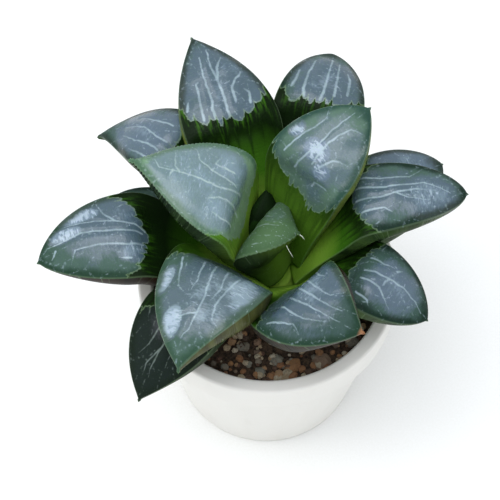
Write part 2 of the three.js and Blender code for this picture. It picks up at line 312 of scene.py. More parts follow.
@dataclass(frozen=True)
class LeafFinish:
    """Windowed leaf skin: a waxy, finely wrinkled cuticle over clear water tissue.

    The window is a grey green with painted slate-blue reflections and painted glints where the cuticle is
    smooth, and pale veins in it. It ends in a jagged edge, and the blade below it is a deep green in painted
    shade under the window, which turns vivid with painted light where light comes through at the base. The
    back is a speckled green.
    """

    name: str
    window: str = "#4a6259"
    painted_sheen: str = "#4a5e6c"  # painted reflection on the window, where the cuticle is also smooth
    painted_bright_reflection: str = "#748896"  # brighter painted reflection where it is strongest
    painted_glint: str = "#a9bac8"  # painted glint where the reflection is strongest, finely rippled
    # dark rim at the window's margins and tip: partly own colour, partly painted shade where the surface
    # turns away from the light
    rim: str = "#182c22"
    vein: str = "#9db2ba"
    fringe: str = "#86a078"
    # the blade: shade is its painted shade deep in the rosette and under the window; vivid and base are its
    # green, brightened as painted light coming through near the crown
    shade: str = "#0f1f09"
    vivid: str = "#356114"
    base: str = "#7ba336"
    back: str = "#40592a"
    back_dark: str = "#1d3016"
    dead: str = "#9a6d4c"  # the dried end
    dried: float = 0.0  # length of the dried end
    wrinkle: float = 0.5  # distance between two wrinkles of the cuticle
    wrinkle_depth: float = 0.1
    patch: float = 5.0  # size of the patches in the window's tone, veins and painted reflections
    gloss: float = 0.3  # roughness of the cuticle
    coat: float = 0.35
    shine: float = 0.5  # specular level where the cuticle is smooth
    pale_root: float = 0.6  # how much the back pales towards the root
    pale_reach: float = 16.0  # distance from the plant's axis where the back starts to pale
    flecks: float = 0.18  # strength of the white flecks
    painted_window_shadow: float = 0.92  # painted shade: how dark the blade is under the window's overhang
    glow: float = 0.0  # painted light: how much of the base's bright colour shows in the window near the plant's axis

    WAX_IOR = 1.42
    RIPPLE = 0.769  # distance between two ripples of a painted reflection's edge, and between two kinks of a vein's
    CREASE = 1.25  # distance between two creases of a painted glint
    VEIN_MESH = 3.333  # distance between two hair-thin veins
    FLECK = 0.417  # size of a fleck on the face
    GRAIN = 0.667  # size of a fleck on the back, and of a notch in the fringe
    PALING = 10.0  # length over which the back pales

    def build(self) -> bpy.types.Material:
        """Makes the material.

        Returns:
            The finished material, which reads the leaf's own attributes.
        """
        recipe = Recipe(self.name)
        node = recipe.node
        at = LeafMarks.read(recipe)
        skin, painted_sheen_and_smoothness = self.window_colour(recipe, at)
        skin, inside = self.with_fringe(recipe, at, skin)
        seam = node("MapRange", {"Value": at.margin, "From Min": 0.3, "From Max": 0.12, "To Max": 0.22},
                    "Result")
        skin = node("Mix", {"Factor_Float": seam, "A_Color": skin, "B_Color": self.fringe}, **MIXED)
        skin = self.with_back(recipe, at, skin)
        if self.dried:
            dry = node("MapRange", {"Value": at.to_tip, "From Min": self.dried, "From Max": self.dried * 0.4},
                       "Result")
            skin = node("Mix", {"Factor_Float": dry, "A_Color": skin, "B_Color": self.dead}, **MIXED)

        front = node("Math", {"Value": 1.0, "Value_001": at.back}, operation="SUBTRACT")
        face = node("Math", {"Value": inside, "Value_001": front}, operation="MULTIPLY")
        waxed = node("Math", {"Value": face, "Value_001": painted_sheen_and_smoothness}, operation="MULTIPLY")
        normal, worn = self.relief(recipe, at, painted_sheen_and_smoothness)
        recipe.fill(recipe.shader, {
            "Base Color": skin,
            "Roughness": worn,
            "IOR": self.WAX_IOR,
            "Normal": normal,
            "Specular IOR Level": node("MapRange", {"Value": waxed, "To Min": 0.08, "To Max": self.shine},
                                       "Result"),
            "Coat Weight": node("Math", {"Value": waxed, "Value_001": self.coat}, operation="MULTIPLY"),
            "Coat Roughness": 0.16,
            "Subsurface Weight": 0.15,
            "Subsurface Radius": (0.6, 1.0, 0.3),
            "Subsurface Scale": 1.5 * MM,
        })
        return recipe.material

    def window_colour(self, recipe: Recipe, at: LeafMarks) -> tuple[Socket, Socket]:
        """The window: grey green under painted slate reflections and glints, with a dark rim that is partly
        painted shade, pale veins and fine white flecks.

        Args:
            recipe: material under way.
            at: the place on the leaf.

        Returns:
            The colour, and the mask of the painted reflection, which also sets how smooth the cuticle is,
            from 0 to 1.
        """
        node = recipe.node
        patches = node("TexNoise", {"Vector": at.place, "Scale": 1 / self.patch, "Detail": 3.0,
                                    "Roughness": 0.6}, "Fac")
        layers, painted_sheen_and_smoothness = self.painted_reflection_layers(recipe, at, patches)
        skin: Socket | str = self.window
        for share, colour in layers + self.vein_layers(recipe, at, patches):
            skin = node("Mix", {"Factor_Float": share, "A_Color": skin, "B_Color": colour}, **MIXED)
        return skin, painted_sheen_and_smoothness

    def painted_reflection_layers(self, recipe: Recipe, at: LeafMarks, patches: Socket) -> tuple[list[Layer], Socket]:
        """The darker patches, the painted glow near the axis, and the painted reflections and glints, which
        have rippled edges.

        Args:
            recipe: material under way.
            at: the place on the leaf.
            patches: broad unevenness of the window.

        Returns:
            The layers from the ground up, and the mask of the painted reflection, which also sets how smooth
            the cuticle is, from 0 to 1.
        """
        node = recipe.node
        drawn_out = node("VectorMath", {"Vector": at.place, "Vector_001": (0.6, 1.7, 1.0)},
                         operation="MULTIPLY")
        ripples = node("TexNoise", {"Vector": drawn_out, "Scale": 1 / self.RIPPLE, "Detail": 3.0,
                                    "Roughness": 0.6, "Distortion": 0.6}, "Fac")
        creases = node("TexNoise", {"Vector": drawn_out, "Scale": 1 / self.CREASE, "Detail": 4.0,
                                    "Roughness": 0.6, "Distortion": 1.0}, "Fac")
        broad = node("Math", {"Value": patches, "Value_001": 1.5, "Value_002": at.full},
                     operation="MULTIPLY_ADD")
        level = node("Math", {"Value": ripples, "Value_001": 0.7, "Value_002": broad},
                     operation="MULTIPLY_ADD")
        # painted glint: the creases lift the strongest painted reflections to a glint
        painted_glint_level = node("Math", {"Value": creases, "Value_001": 4.5, "Value_002": at.full},
                    operation="MULTIPLY_ADD")
        # the painted reflection's mask, which also sets the cuticle's gloss
        painted_sheen_and_smoothness = node("MapRange", {"Value": level, "From Min": 1.22, "From Max": 1.85}, **EASED)
        # layers: darker patches of tone, painted glow, painted reflection, brighter painted reflection,
        # painted glint
        return [
            (node("MapRange", {"Value": patches, "From Min": 0.35, "From Max": 0.65, "To Max": 0.32},
                  "Result"),
             self.rim),
            (node("MapRange", {"Value": at.reach, "From Min": 14.0, "From Max": 3.0, "To Max": self.glow},
                  "Result"), self.base),
            (node("Math", {"Value": painted_sheen_and_smoothness, "Value_001": 0.85}, operation="MULTIPLY"), self.painted_sheen),
            (node("MapRange", {"Value": level, "From Min": 1.95, "From Max": 2.45, "To Max": 0.8}, **EASED),
             self.painted_bright_reflection),
            (node("MapRange", {"Value": painted_glint_level, "From Min": 3.6, "From Max": 4.4, "To Max": 0.85}, **EASED),
             self.painted_glint),
        ], painted_sheen_and_smoothness

    def vein_layers(self, recipe: Recipe, at: LeafMarks, patches: Socket) -> list[Layer]:
        """The dark rim at the margins and tip, partly own colour and partly painted shade, the pale veins,
        the hair-thin ones between them, and the flecks.

        Args:
            recipe: material under way.
            at: the place on the leaf.
            patches: broad unevenness of the window.

        Returns:
            The layers from the ground up.
        """
        node = recipe.node
        from_tip = node("Math", {"Value": at.to_tip, "Value_001": 0.55}, operation="MULTIPLY")
        nearest = node("Math", {"Value": at.margin, "Value_001": from_tip}, operation="MINIMUM")
        uneven = node("Math", {"Value": patches, "Value_001": -3.0, "Value_002": nearest},
                      operation="MULTIPLY_ADD")
        crinkle = node("TexNoise", {"Vector": at.place, "Scale": 1 / self.RIPPLE, "Detail": 3.0}, "Fac")
        frayed = node("Math", {"Value": crinkle, "Value_001": 0.3, "Value_002": at.vein},
                      operation="MULTIPLY_ADD")
        faint = node("MapRange", {"Value": patches, "From Min": 0.35, "From Max": 0.6, "To Min": 0.4,
                                  "To Max": 0.9}, "Result")
        long_cells = node("VectorMath", {"Vector": at.place, "Vector_001": (1.0, 0.45, 1.0)},
                          operation="MULTIPLY")
        to_thread = node("TexVoronoi", {"Vector": long_cells, "Scale": 1 / self.VEIN_MESH}, "Distance",
                         feature="DISTANCE_TO_EDGE")
        broken = node("MapRange", {"Value": crinkle, "From Min": 0.5, "From Max": 0.68, "To Max": 0.4},
                      "Result")
        dots = node("TexNoise", {"Vector": at.place, "Scale": 1 / self.FLECK, "Detail": 1.0}, "Fac")
        return [
            # the dark rim, partly painted shade
            (node("MapRange", {"Value": uneven, "From Min": 0.9, "From Max": -0.9, "To Max": 0.95}, **EASED),
             self.rim),
            (node("MapRange", {"Value": frayed, "From Min": 0.5, "From Max": 0.22, "To Max": faint}, **EASED),
             self.vein),
            (node("MapRange", {"Value": to_thread, "From Min": 0.05, "From Max": 0.015, "To Max": broken},
                  "Result"), self.vein),
            (node("MapRange", {"Value": dots, "From Min": 0.69, "From Max": 0.76, "To Max": self.flecks},
                  "Result"), self.vein),
        ]

    def with_fringe(self, recipe: Recipe, at: LeafMarks, skin: Socket) -> tuple[Socket, Socket]:
        """The blade below the window, with painted light near the crown and painted shade further out and
        under the window, and the pale fringe between the two.

        Args:
            recipe: material under way.
            at: the place on the leaf.
            skin: colour of the window.

        Returns:
            The colour of the whole face, and 1 on the window.
        """
        node = recipe.node
        drawn_out = node("VectorMath", {"Vector": at.place, "Vector_001": (1.1, 0.16, 1.0)},
                         operation="MULTIPLY")
        streaks = node("TexNoise", {"Vector": drawn_out, "Scale": 1.0, "Detail": 3.0, "Roughness": 0.6},
                       "Fac")
        # painted light and shade: bright near the plant's axis, where light comes through, and dark further
        # out, in the rosette's shade
        outwards = node("Math", {"Value": streaks, "Value_001": 0.8, "Value_002": at.reach},
                        operation="MULTIPLY_ADD")
        lit = node("MapRange", {"Value": outwards, "From Min": 4.0, "From Max": 28.0}, "Result")
        blade = node("ValToRGB", {"Fac": lit}, "Color", stops=(
            (0.0, self.base), (1.0, self.shade), (0.32, self.base), (0.52, self.vivid), (0.8, self.shade)))

        # painted shade under the window's overhang, darker further from the axis
        tufts = node("Math", {"Value": streaks, "Value_001": 2.5, "Value_002": at.border},
                     operation="MULTIPLY_ADD")
        darkest = node("MapRange", {"Value": at.reach, "From Min": 6.0, "From Max": 15.0, "To Min": 0.1,
                                    "To Max": self.painted_window_shadow}, "Result")
        painted_window_shadow = node("MapRange", {"Value": tufts, "From Min": -4.5, "From Max": 0.5, "To Max": darkest},
                    **EASED)
        blade = node("Mix", {"Factor_Float": painted_window_shadow, "A_Color": blade, "B_Color": self.shade}, **MIXED)

        notches = node("TexNoise", {"Vector": at.place, "Scale": 1 / self.GRAIN, "Detail": 2.0}, "Fac")
        edge = node("Math", {"Value": notches, "Value_001": 0.9, "Value_002": at.border},
                    operation="MULTIPLY_ADD")
        feather = node("MapRange", {"Value": edge, "From Min": -2.4, "From Max": 0.5, "To Max": 0.55},
                       **EASED)
        barbs = node("MapRange", {"Value": streaks, "From Min": 0.48, "From Max": 0.6}, "Result")
        feathered = node("Math", {"Value": feather, "Value_001": barbs}, operation="MULTIPLY")
        blade = node("Mix", {"Factor_Float": feathered, "A_Color": blade, "B_Color": self.vivid}, **MIXED)

        inside = node("MapRange", {"Value": edge, "From Min": 0.35, "From Max": 0.5}, "Result")
        pale = node("MapRange", {"Value": edge, "From Min": 0.85, "From Max": 0.55, "To Max": 0.4}, **EASED)
        window = node("Mix", {"Factor_Float": pale, "A_Color": skin, "B_Color": self.fringe}, **MIXED)
        return node("Mix", {"Factor_Float": inside, "A_Color": blade, "B_Color": window}, **MIXED), inside

    def with_back(self, recipe: Recipe, at: LeafMarks, skin: Socket) -> Socket:
        """The back: matt green with dark streaks and pale flecks, paler towards the root.

        Args:
            recipe: material under way.
            at: the place on the leaf.
            skin: colour of the face.

        Returns:
            The colour of the whole leaf.
        """
        node = recipe.node
        drawn_out = node("VectorMath", {"Vector": at.place, "Vector_001": (0.5, 0.13, 1.0)},
                         operation="MULTIPLY")
        streaks = node("TexNoise", {"Vector": drawn_out, "Scale": 1.0, "Detail": 4.0, "Roughness": 0.6},
                       "Fac")
        green = node("ValToRGB", {"Fac": streaks}, "Color", stops=((0.35, self.back), (0.62, self.back_dark)))
        rooted = node("MapRange", {"Value": at.reach, "From Min": self.pale_reach,
                                   "From Max": self.pale_reach - self.PALING,
                                   "To Max": self.pale_root}, **EASED)
        green = node("Mix", {"Factor_Float": rooted, "A_Color": green, "B_Color": self.base}, **MIXED)
        dots = node("TexNoise", {"Vector": at.place, "Scale": 1 / self.GRAIN, "Detail": 1.0}, "Fac")
        fleck = node("MapRange", {"Value": dots, "From Min": 0.67, "From Max": 0.75, "To Max": 0.3}, "Result")
        green = node("Mix", {"Factor_Float": fleck, "A_Color": green, "B_Color": self.fringe}, **MIXED)
        return node("Mix", {"Factor_Float": at.back, "A_Color": skin, "B_Color": green}, **MIXED)

    def relief(self, recipe: Recipe, at: LeafMarks, painted_sheen_and_smoothness: Socket) -> tuple[Socket, Socket]:
        """The wrinkles of the cuticle and the veins under it.

        Args:
            recipe: material under way.
            at: the place on the leaf.
            painted_sheen_and_smoothness: 1 where the cuticle is smooth and full.

        Returns:
            The bumped normal and the roughness.
        """
        node = recipe.node
        drawn_out = node("VectorMath", {"Vector": at.place, "Vector_001": (0.45, 1.0, 1.0)},
                         operation="MULTIPLY")
        wrinkles = node("TexNoise", {"Vector": drawn_out, "Scale": 1 / self.wrinkle, "Detail": 2.0,
                                     "Roughness": 0.5, "Distortion": 0.8}, "Fac")
        raised = node("MapRange", {"Value": at.vein, "From Min": 0.35, "From Max": 0.1}, **EASED)
        fine = node("Bump", {"Height": wrinkles, "Strength": 0.9, "Distance": self.wrinkle_depth * MM},
                    "Normal")
        normal = node("Bump", {"Height": raised, "Strength": 0.5, "Distance": 0.04 * MM, "Normal": fine},
                      "Normal")
        worn = node("MapRange", {"Value": painted_sheen_and_smoothness, "To Min": self.gloss + 0.12,
                                 "To Max": self.gloss - 0.06}, "Result")
        return normal, worn


@dataclass(frozen=True)
class DriedFinish:
    """Dried leaf tip: papery dead tissue, weathered by light, pale and matt, with darker fibres."""

    name: str
    pale: str
    dark: str
    fibre: float = 0.2  # width of a fibre

    def build(self) -> bpy.types.Material:
        """Makes the material: fine fibres that show in the colour and in the relief."""
        recipe = Recipe(self.name)
        node = recipe.node
        place = node("TexCoord", {}, "Object")
        fibres = node("TexNoise", {"Vector": place, "Scale": 1 / (self.fibre * MM), "Detail": 2.0}, "Fac")
        recipe.fill(recipe.shader, {
            "Base Color": node("ValToRGB", {"Fac": fibres}, "Color",
                               stops=((0.35, self.dark), (0.6, self.pale))),
            "Normal": node("Bump", {"Height": fibres, "Strength": 0.5, "Distance": 0.05 * MM}, "Normal"),
            "Roughness": 0.75,
        })
        return recipe.material


@dataclass(frozen=True)
class StockFinish:
    """Corky stock and roots: grown in rings where old leaves came off, dull tan with brown scars."""

    name: str = "corky_root_stock"
    pale: str = "#a99a6a"
    scar: str = "#6a5334"
    green: str = "#8bb03a"  # the young top, between the leaf bases
    green_from: float = CROWN - 12
    green_above: float = CROWN - 7
    ring: float = 10.053  # distance between two broad bands of scars
    cork: float = 0.5  # size of a grain of cork

    BAND_FACTOR = 20  # the texture's bands multiply the place by this

    def build(self) -> bpy.types.Material:
        """Makes the material: bands of scars round the stock, broken up by the grain of the cork."""
        recipe = Recipe(self.name)
        node = recipe.node
        place = node("TexCoord", {}, "Object")
        rings = node("TexWave", {
            "Vector": place, "Scale": math.tau / (self.BAND_FACTOR * self.ring * MM), "Distortion": 3.0},
            "Fac", bands_direction="Z")
        cork = node("TexNoise", {"Vector": place, "Scale": 1 / (self.cork * MM), "Detail": 3.0}, "Fac")
        mixed = node("Math", {"Value": rings, "Value_001": cork}, operation="MULTIPLY")
        height = node("SeparateXYZ", {"Vector": place}, "Z")
        fresh = node("MapRange", {"Value": height, "From Min": self.green_from * MM,
                                  "From Max": self.green_above * MM}, "Result")
        corky = node("ValToRGB", {"Fac": mixed}, "Color", stops=((0.1, self.scar), (0.5, self.pale)))
        recipe.fill(recipe.shader, {
            "Base Color": node("Mix", {"Factor_Float": fresh, "A_Color": corky, "B_Color": self.green},
                               **MIXED),
            "Normal": node("Bump", {"Height": mixed, "Strength": 0.7, "Distance": 0.2 * MM}, "Normal"),
            "Roughness": 0.85,
        })
        return recipe.material


@dataclass(frozen=True)
class PeatFinish:
    """Peat and fine grit between the stones: damp, near black-brown and crumbly, so it stays in shadow."""

    name: str = "damp_peat"
    dark: str = "#2a1f17"
    pale: str = "#5d4a38"
    crumb: float = 0.9  # size of a crumb
    sand: float = 0.3  # size of a grain of sand

    def build(self) -> bpy.types.Material:
        """Makes the material: crumbs with a finer dust of sand on them."""
        recipe = Recipe(self.name)
        node = recipe.node
        place = node("TexCoord", {}, "Object")
        crumbs = node("TexVoronoi", {"Vector": place, "Scale": 1 / (self.crumb * MM)}, "Distance")
        sand = node("TexNoise", {"Vector": place, "Scale": 1 / (self.sand * MM), "Detail": 3.0}, "Fac")
        mixed = node("Math", {"Value": crumbs, "Value_001": sand}, operation="MULTIPLY")
        recipe.fill(recipe.shader, {
            "Base Color": node("ValToRGB", {"Fac": mixed}, "Color",
                               stops=((0.1, self.dark), (0.5, self.pale))),
            "Normal": node("Bump", {"Height": mixed, "Strength": 1.0, "Distance": 0.5 * MM}, "Normal"),
            "Roughness": 0.95,
        })
        return recipe.material


@dataclass(frozen=True)
class GritFinish:
    """Crushed stone: pumice, burnt clay, lava and zeolite, broken and sieved, each grain one dusty colour."""

    name: str = "crushed_pumice_clay_lava"
    stones: tuple[tuple[float, str], ...] = (
        (0.0, "#c9c0ac"), (1.0, "#3b2f28"), (0.22, "#b8a98c"), (0.4, "#a5784f"), (0.58, "#8a5a3c"),
        (0.72, "#8b8f84"), (0.86, "#5b3b30"))  # the draw that picks each stone, and its colour
    dust: str = "#7d6c58"
    pore: float = 0.35  # size of a pore in the pumice

    def build(self) -> bpy.types.Material:
        """Makes the material: the grain's own draw picks its stone, and pores and dust break it up."""
        recipe = Recipe(self.name)
        node = recipe.node
        place = node("TexCoord", {}, "Object")
        kind = node("Attribute", {}, "Fac", attribute_name="stone")
        pores = node("TexNoise", {"Vector": place, "Scale": 1 / (self.pore * MM), "Detail": 3.0}, "Fac")
        stone = node("ValToRGB", {"Fac": kind}, "Color", stops=self.stones)
        dusty = node("MapRange", {"Value": pores, "From Min": 0.3, "From Max": 0.7, "To Max": 0.5}, "Result")
        recipe.fill(recipe.shader, {
            "Base Color": node("Mix", {"Factor_Float": dusty, "A_Color": stone, "B_Color": self.dust},
                               **MIXED),
            "Normal": node("Bump", {"Height": pores, "Strength": 0.8, "Distance": 0.25 * MM}, "Normal"),
            "Roughness": 0.92,
        })
        return recipe.material


@dataclass(frozen=True)
class PotFinish:
    """White polypropylene: injection-moulded, slightly warm, with a satin sheen and scuffs from handling."""

    name: str = "moulded_polypropylene"
    colour: str = "#e7e5df"
    scuff: str = "#dedbd3"
    texture: float = 0.4  # grain of the mould's surface
    scuff_width: float = 6.0
    plastic_ior: float = 1.49

    def build(self) -> bpy.types.Material:
        """Makes the material: an even satin with a faint mould grain and long, shallow scuffs."""
        recipe = Recipe(self.name)
        node = recipe.node
        place = node("TexCoord", {}, "Object")
        grain = node("TexNoise", {"Vector": place, "Scale": 1 / (self.texture * MM), "Detail": 2.0}, "Fac")
        upright = node("VectorMath", {"Vector": place, "Vector_001": (1.0, 1.0, 0.25)}, operation="MULTIPLY")
        scuffs = node("TexNoise", {"Vector": upright, "Scale": 1 / (self.scuff_width * MM), "Detail": 6.0,
                                   "Roughness": 0.7}, "Fac")
        worn = node("MapRange", {"Value": scuffs, "From Min": 0.58, "From Max": 0.8, "To Max": 0.5}, "Result")
        recipe.fill(recipe.shader, {
            "Base Color": node("Mix", {"Factor_Float": worn, "A_Color": self.colour, "B_Color": self.scuff},
                               **MIXED),
            "Roughness": node("MapRange", {"Value": scuffs, "From Min": 0.4, "From Max": 0.7, "To Min": 0.36,
                                           "To Max": 0.55}, "Result"),
            "Normal": node("Bump", {"Height": grain, "Strength": 0.25, "Distance": 0.03 * MM}, "Normal"),
            "IOR": self.plastic_ior,
            "Subsurface Weight": 0.1,
            "Subsurface Radius": (1.0, 0.9, 0.8),
            "Subsurface Scale": 1.0 * MM,
        })
        return recipe.material


@dataclass(frozen=True)
class PaperFinish:
    """Matt white paper under the plant: pressed and uncoated, so it gives no reflection."""

    name: str = "matt_studio_paper"
    colour: str = "#fafaf8"
    shadow: str = "#f6f6f3"  # between the fibres
    fibre: float = 0.5  # width of a fibre

    def build(self) -> bpy.types.Material:
        """Makes the material: near white with a faint grain of fibres."""
        recipe = Recipe(self.name)
        node = recipe.node
        place = node("TexCoord", {}, "Object")
        fibres = node("TexNoise", {"Vector": place, "Scale": 1 / (self.fibre * MM), "Detail": 2.0}, "Fac")
        recipe.fill(recipe.shader, {
            "Base Color": node("ValToRGB", {"Fac": fibres}, "Color",
                               stops=((0.3, self.shadow), (0.7, self.colour))),
            "Roughness": 0.9,
        })
        return recipe.material


# ---- Leaves ----


PaintedReflection = tuple[float, float, float, float, float]  # a painted reflection: share, height's share, two radii, strength


class Age(Enum):
    """How old a leaf is, which sets its finish."""

    YOUNG = "leaf_young"
    # a leaf in deep shade rather than an age; its finish is painted shade
    SHADED = "leaf_shaded"
    INNER = "leaf_inner"
    MIDDLE = "leaf_middle"
    OUTER = "leaf_outer"
    OLDEST = "leaf_oldest"


@dataclass(frozen=True)
class Leaf:
    """One thick leaf: a blade that bends out to a triangular window.

    Lengths are in millimetres and angles in degrees, as in the part's source. A place on the face is given by
    its share of the half-width, from -1 to 1 with 1 on the side that lies anticlockwise, and by its share of
    the window.
    """

    name: str
    azimuth: float  # direction in which it grows, from X towards Y
    lean: float  # of the blade, from the vertical
    blade: float  # length up to the shoulder
    bend: float  # turn of the midrib at the shoulder
    window: float  # length from the shoulder to the tip
    width: float
    twist: float  # turn about its own length
    sweep: float  # how far its direction turns on the way to the tip
    droop: float  # turn of the midrib along the window
    taper: float  # below 1 the window is full, above 1 it is narrow
    depth: float  # as a share of the width
    root: Point  # distance from the plant's axis, and height from the crown
    age: Age
    edge: Line = ((-1, 5), (-0.6, 1.5), (0, 0), (0.6, 1.5), (1, 5))  # the window's lower edge: share, height
    veins: tuple[Line, ...] = ()
    painted_reflections: tuple[PaintedReflection, ...] = ((0, 0.4, 6, 6, 0.9),)
    lobes: float = 1.5  # length of the lobes along the window's edge
    lobe_width: float = 2.3
    teeth: float = 0.0  # how far the teeth of the margin stand out
    vein_width: float = 1.0  # as a share of the usual width

    # The form, as in the part's source.
    BEND_LENGTH = 9.0
    BEND_RISE = 1.0  # how far below the shoulder the middle of the bend lies
    ROLL_STRETCH = 1.9
    ROOT_WIDTH = 0.6
    ROOT_DEPTH = 3.5
    WINDOW_CROWN = 2.0
    CROWN_RISE = (3.0, 7.0)  # the face starts to crown this far below the shoulder, over this length
    BLADE_HOLLOW = 0.8
    HOLLOW_END = (4.0, 5.0)  # the hollow starts to end this far below the shoulder, over this length
    BACK_BULGE = 0.1
    BACK_FULLNESS = 0.8
    BACK_TAPER = 0.9
    TIP_ROUNDNESS = 2.1
    TIP_DEPTH = 0.8
    TIP_HALF_WIDTH = 0.35
    MARGIN_ROUND = 0.35
    THIN_ROUND = 0.3  # largest rounding of the margin, as a share of a thin section

    # The rings and points of the skin.
    SHOULDER_ZONE = 14.0  # length of the blade below the shoulder that has close rings
    SHOULDER_RINGS = 50
    BLADE_STEP = 0.8
    WINDOW_STEP = 0.23
    TIP_CLOSENESS = 1.35  # above 1 the rings draw together towards the tip
    FACE_STEPS = 100
    FACE_EVENNESS = 0.45  # below 1 the points draw together towards the margins
    BACK_STEPS = 56

    # What is only seen.
    TIP_POINT = 0.5  # length of the fine point at the tip
    UNEVENNESS = 0.16  # height of the broad waves in the window
    WAVE_LENGTH = 9.0
    PANEL_SWELL = 0.14  # how far the window swells between its veins
    GROOVE_WIDTH = 0.9  # half-width of the dip along a vein
    CALM_RIM = 0.2  # share of the half-width over which the window settles at its margin
    CALM_BLADE = (10.0, 8.0)  # the waves start this far below the shoulder, over this length
    CALM_TIP = 3.0
    TOOTH_SPACING = 0.7
    TOOTHED_SHARE = 0.9  # the teeth stand outside this share of the half-width
    TOOTHED_BLADE = (12.0, 3.0)  # the teeth start this far below the shoulder, over this length
    LOBE_DRIFT = ((0.9, 5.0), (0.5, 11.0))  # how far the lobes are pushed aside, and how often
    LOBE_LENGTHS = (0.45, 1.25)  # shortest and longest lobe, as a share of the usual length
    LOBE_FULLNESS = 0.45  # below 1 the lobes are full and the slits between them narrow
    MOST_LOBES = 64
    WIDEST_SHARE = 1.2  # the back bulges past the margin, so the edge is worked out this far
    EDGE_SAMPLES = 481
    STEEPEST = 3.0  # slope of the window's edge past which the distance to it isn't narrowed
    VEIN_REACH = 3.0  # distances to a vein are worked out this far
    VEIN_SEED = 50
    VEIN_WANDER = (0.06, 2.6)  # how far a vein wanders, and over what length
    VEIN_TAPER = 0.18  # how much narrower a vein is at its end
    REFLECTION_FLATNESS = 0.8  # below 1 a painted reflection keeps its strength up to near its edge

    @property
    def total(self) -> float:
        """Length of the whole leaf."""
        return self.blade + self.window

    @property
    def seed(self) -> int:
        """A number of the leaf's own for its seeded draws."""
        return ord(self.name)

    def stations(self) -> np.ndarray:
        """Distances from the root of the rings, closest at the window and the tip."""
        plain = max(self.blade - self.SHOULDER_ZONE, 0)
        low = np.linspace(0, plain, math.ceil(plain / self.BLADE_STEP), endpoint=False)
        middle = np.linspace(plain, self.blade, self.SHOULDER_RINGS, endpoint=False)
        share = np.linspace(0, 1, round(self.window / self.WINDOW_STEP))
        high = self.blade + self.window * (1 - (1 - share) ** self.TIP_CLOSENESS)
        return np.concatenate([low, middle, high])

    def tilt(self, distance: np.ndarray, stretch: float) -> np.ndarray:
        """The midrib's angle from the vertical.

        Args:
            distance: distances from the root.
            stretch: how much longer than the midrib's own bend the turn is.

        Returns:
            The angles in radians.
        """
        length = self.BEND_LENGTH * stretch
        start = self.blade - self.BEND_RISE - length / 2
        turn = self.bend * smooth((distance - start) / length)
        return np.radians(self.lean + turn + self.droop * smooth((distance - self.blade) / self.window))

    def directions(self, distance: np.ndarray) -> tuple[np.ndarray, np.ndarray, np.ndarray]:
        """The leaf's own axes.

        Args:
            distance: distances from the root.

        Returns:
            The directions along the leaf, across it and out of its face.
        """
        share = distance / self.total
        heading = np.radians(self.azimuth + self.sweep * share**1.5)

        def pointing(angle: np.ndarray) -> np.ndarray:
            """The direction at an angle from the vertical, towards the heading."""
            level = np.sin(angle)
            return np.stack([level * np.cos(heading), level * np.sin(heading), np.cos(angle)], -1)

        rolled = pointing(self.tilt(distance, self.ROLL_STRETCH))
        across = np.stack([-np.sin(heading), np.cos(heading), 0 * heading], -1)
        normal = np.cross(rolled, across)
        roll = np.radians(self.twist * smooth(share))[:, None]
        turned_across = across * np.cos(roll) + normal * np.sin(roll)
        return pointing(self.tilt(distance, 1)), turned_across, normal * np.cos(roll) - across * np.sin(roll)

    def midrib(self, distance: np.ndarray) -> np.ndarray:
        """The midrib's places, from the root outwards."""
        heading = math.radians(self.azimuth)
        radius, height = self.root
        start = np.array([radius * math.cos(heading), radius * math.sin(heading), CROWN + height])
        step = np.diff(distance, prepend=0)
        tangent = self.directions(distance - step / 2)[0]
        return start + np.cumsum(tangent * step[:, None], 0)

    def section(self, distance: np.ndarray) -> tuple[np.ndarray, np.ndarray, np.ndarray]:
        """The size of the leaf's section.

        Args:
            distance: distances from the root.

        Returns:
            The half-width, the depth and the bulge of the face.
        """
        on_blade = np.clip(distance / self.blade, 0, 1)
        on_window = np.clip((distance - self.blade) / self.window, 0, 1)
        spread = self.ROOT_WIDTH + (1 - self.ROOT_WIDTH) * smooth(on_blade)
        half = self.width / 2 * spread * (1 - on_window**self.TIP_ROUNDNESS) ** self.taper
        depth = self.ROOT_DEPTH + (self.width * self.depth - self.ROOT_DEPTH) * smooth(on_blade)
        rise = self.past(self.CROWN_RISE, distance - self.blade) * np.sqrt(1 - on_window**2)
        hollow = smooth(on_blade) * (1 - self.past(self.HOLLOW_END, distance - self.blade))
        return (
            np.maximum(half, self.TIP_HALF_WIDTH),
            depth * (1 - on_window**2) ** self.BACK_TAPER + self.TIP_DEPTH,
            self.WINDOW_CROWN * rise - self.BLADE_HOLLOW * hollow,
        )

    @staticmethod
    def past(zone: Point, height: np.ndarray) -> np.ndarray:
        """A soft step from 0 to 1 over a zone of the leaf.

        Args:
            zone: how far below the shoulder the zone starts, and its length.
            height: places along the leaf, from its shoulder.

        Returns:
            0 below the zone and 1 above it.
        """
        below, length = zone
        return smooth((height + below) / length)

    def edge_height(self, share: np.ndarray) -> np.ndarray:
        """The height of the window's jagged lower edge, from the shoulder of the leaf.

        Args:
            share: places across the face, from -1 to 1.

        Returns:
            The height in millimetres: the listed edge with rounded lobes hung from it.
        """
        places, heights = zip(*self.edge)
        base = np.interp(share, places, heights)
        draw = np.random.default_rng(self.seed)
        drift = sum(push * np.sin(share * often + draw.uniform(0, 6)) for push, often in self.LOBE_DRIFT)
        turn = (share * self.width / 2 + drift) / self.lobe_width
        lobe = np.floor(turn + 0.5).astype(int) + self.MOST_LOBES // 2
        length = draw.uniform(*self.LOBE_LENGTHS, self.MOST_LOBES)[lobe]
        return base - self.lobes * length * np.abs(np.cos(np.pi * turn)) ** self.LOBE_FULLNESS

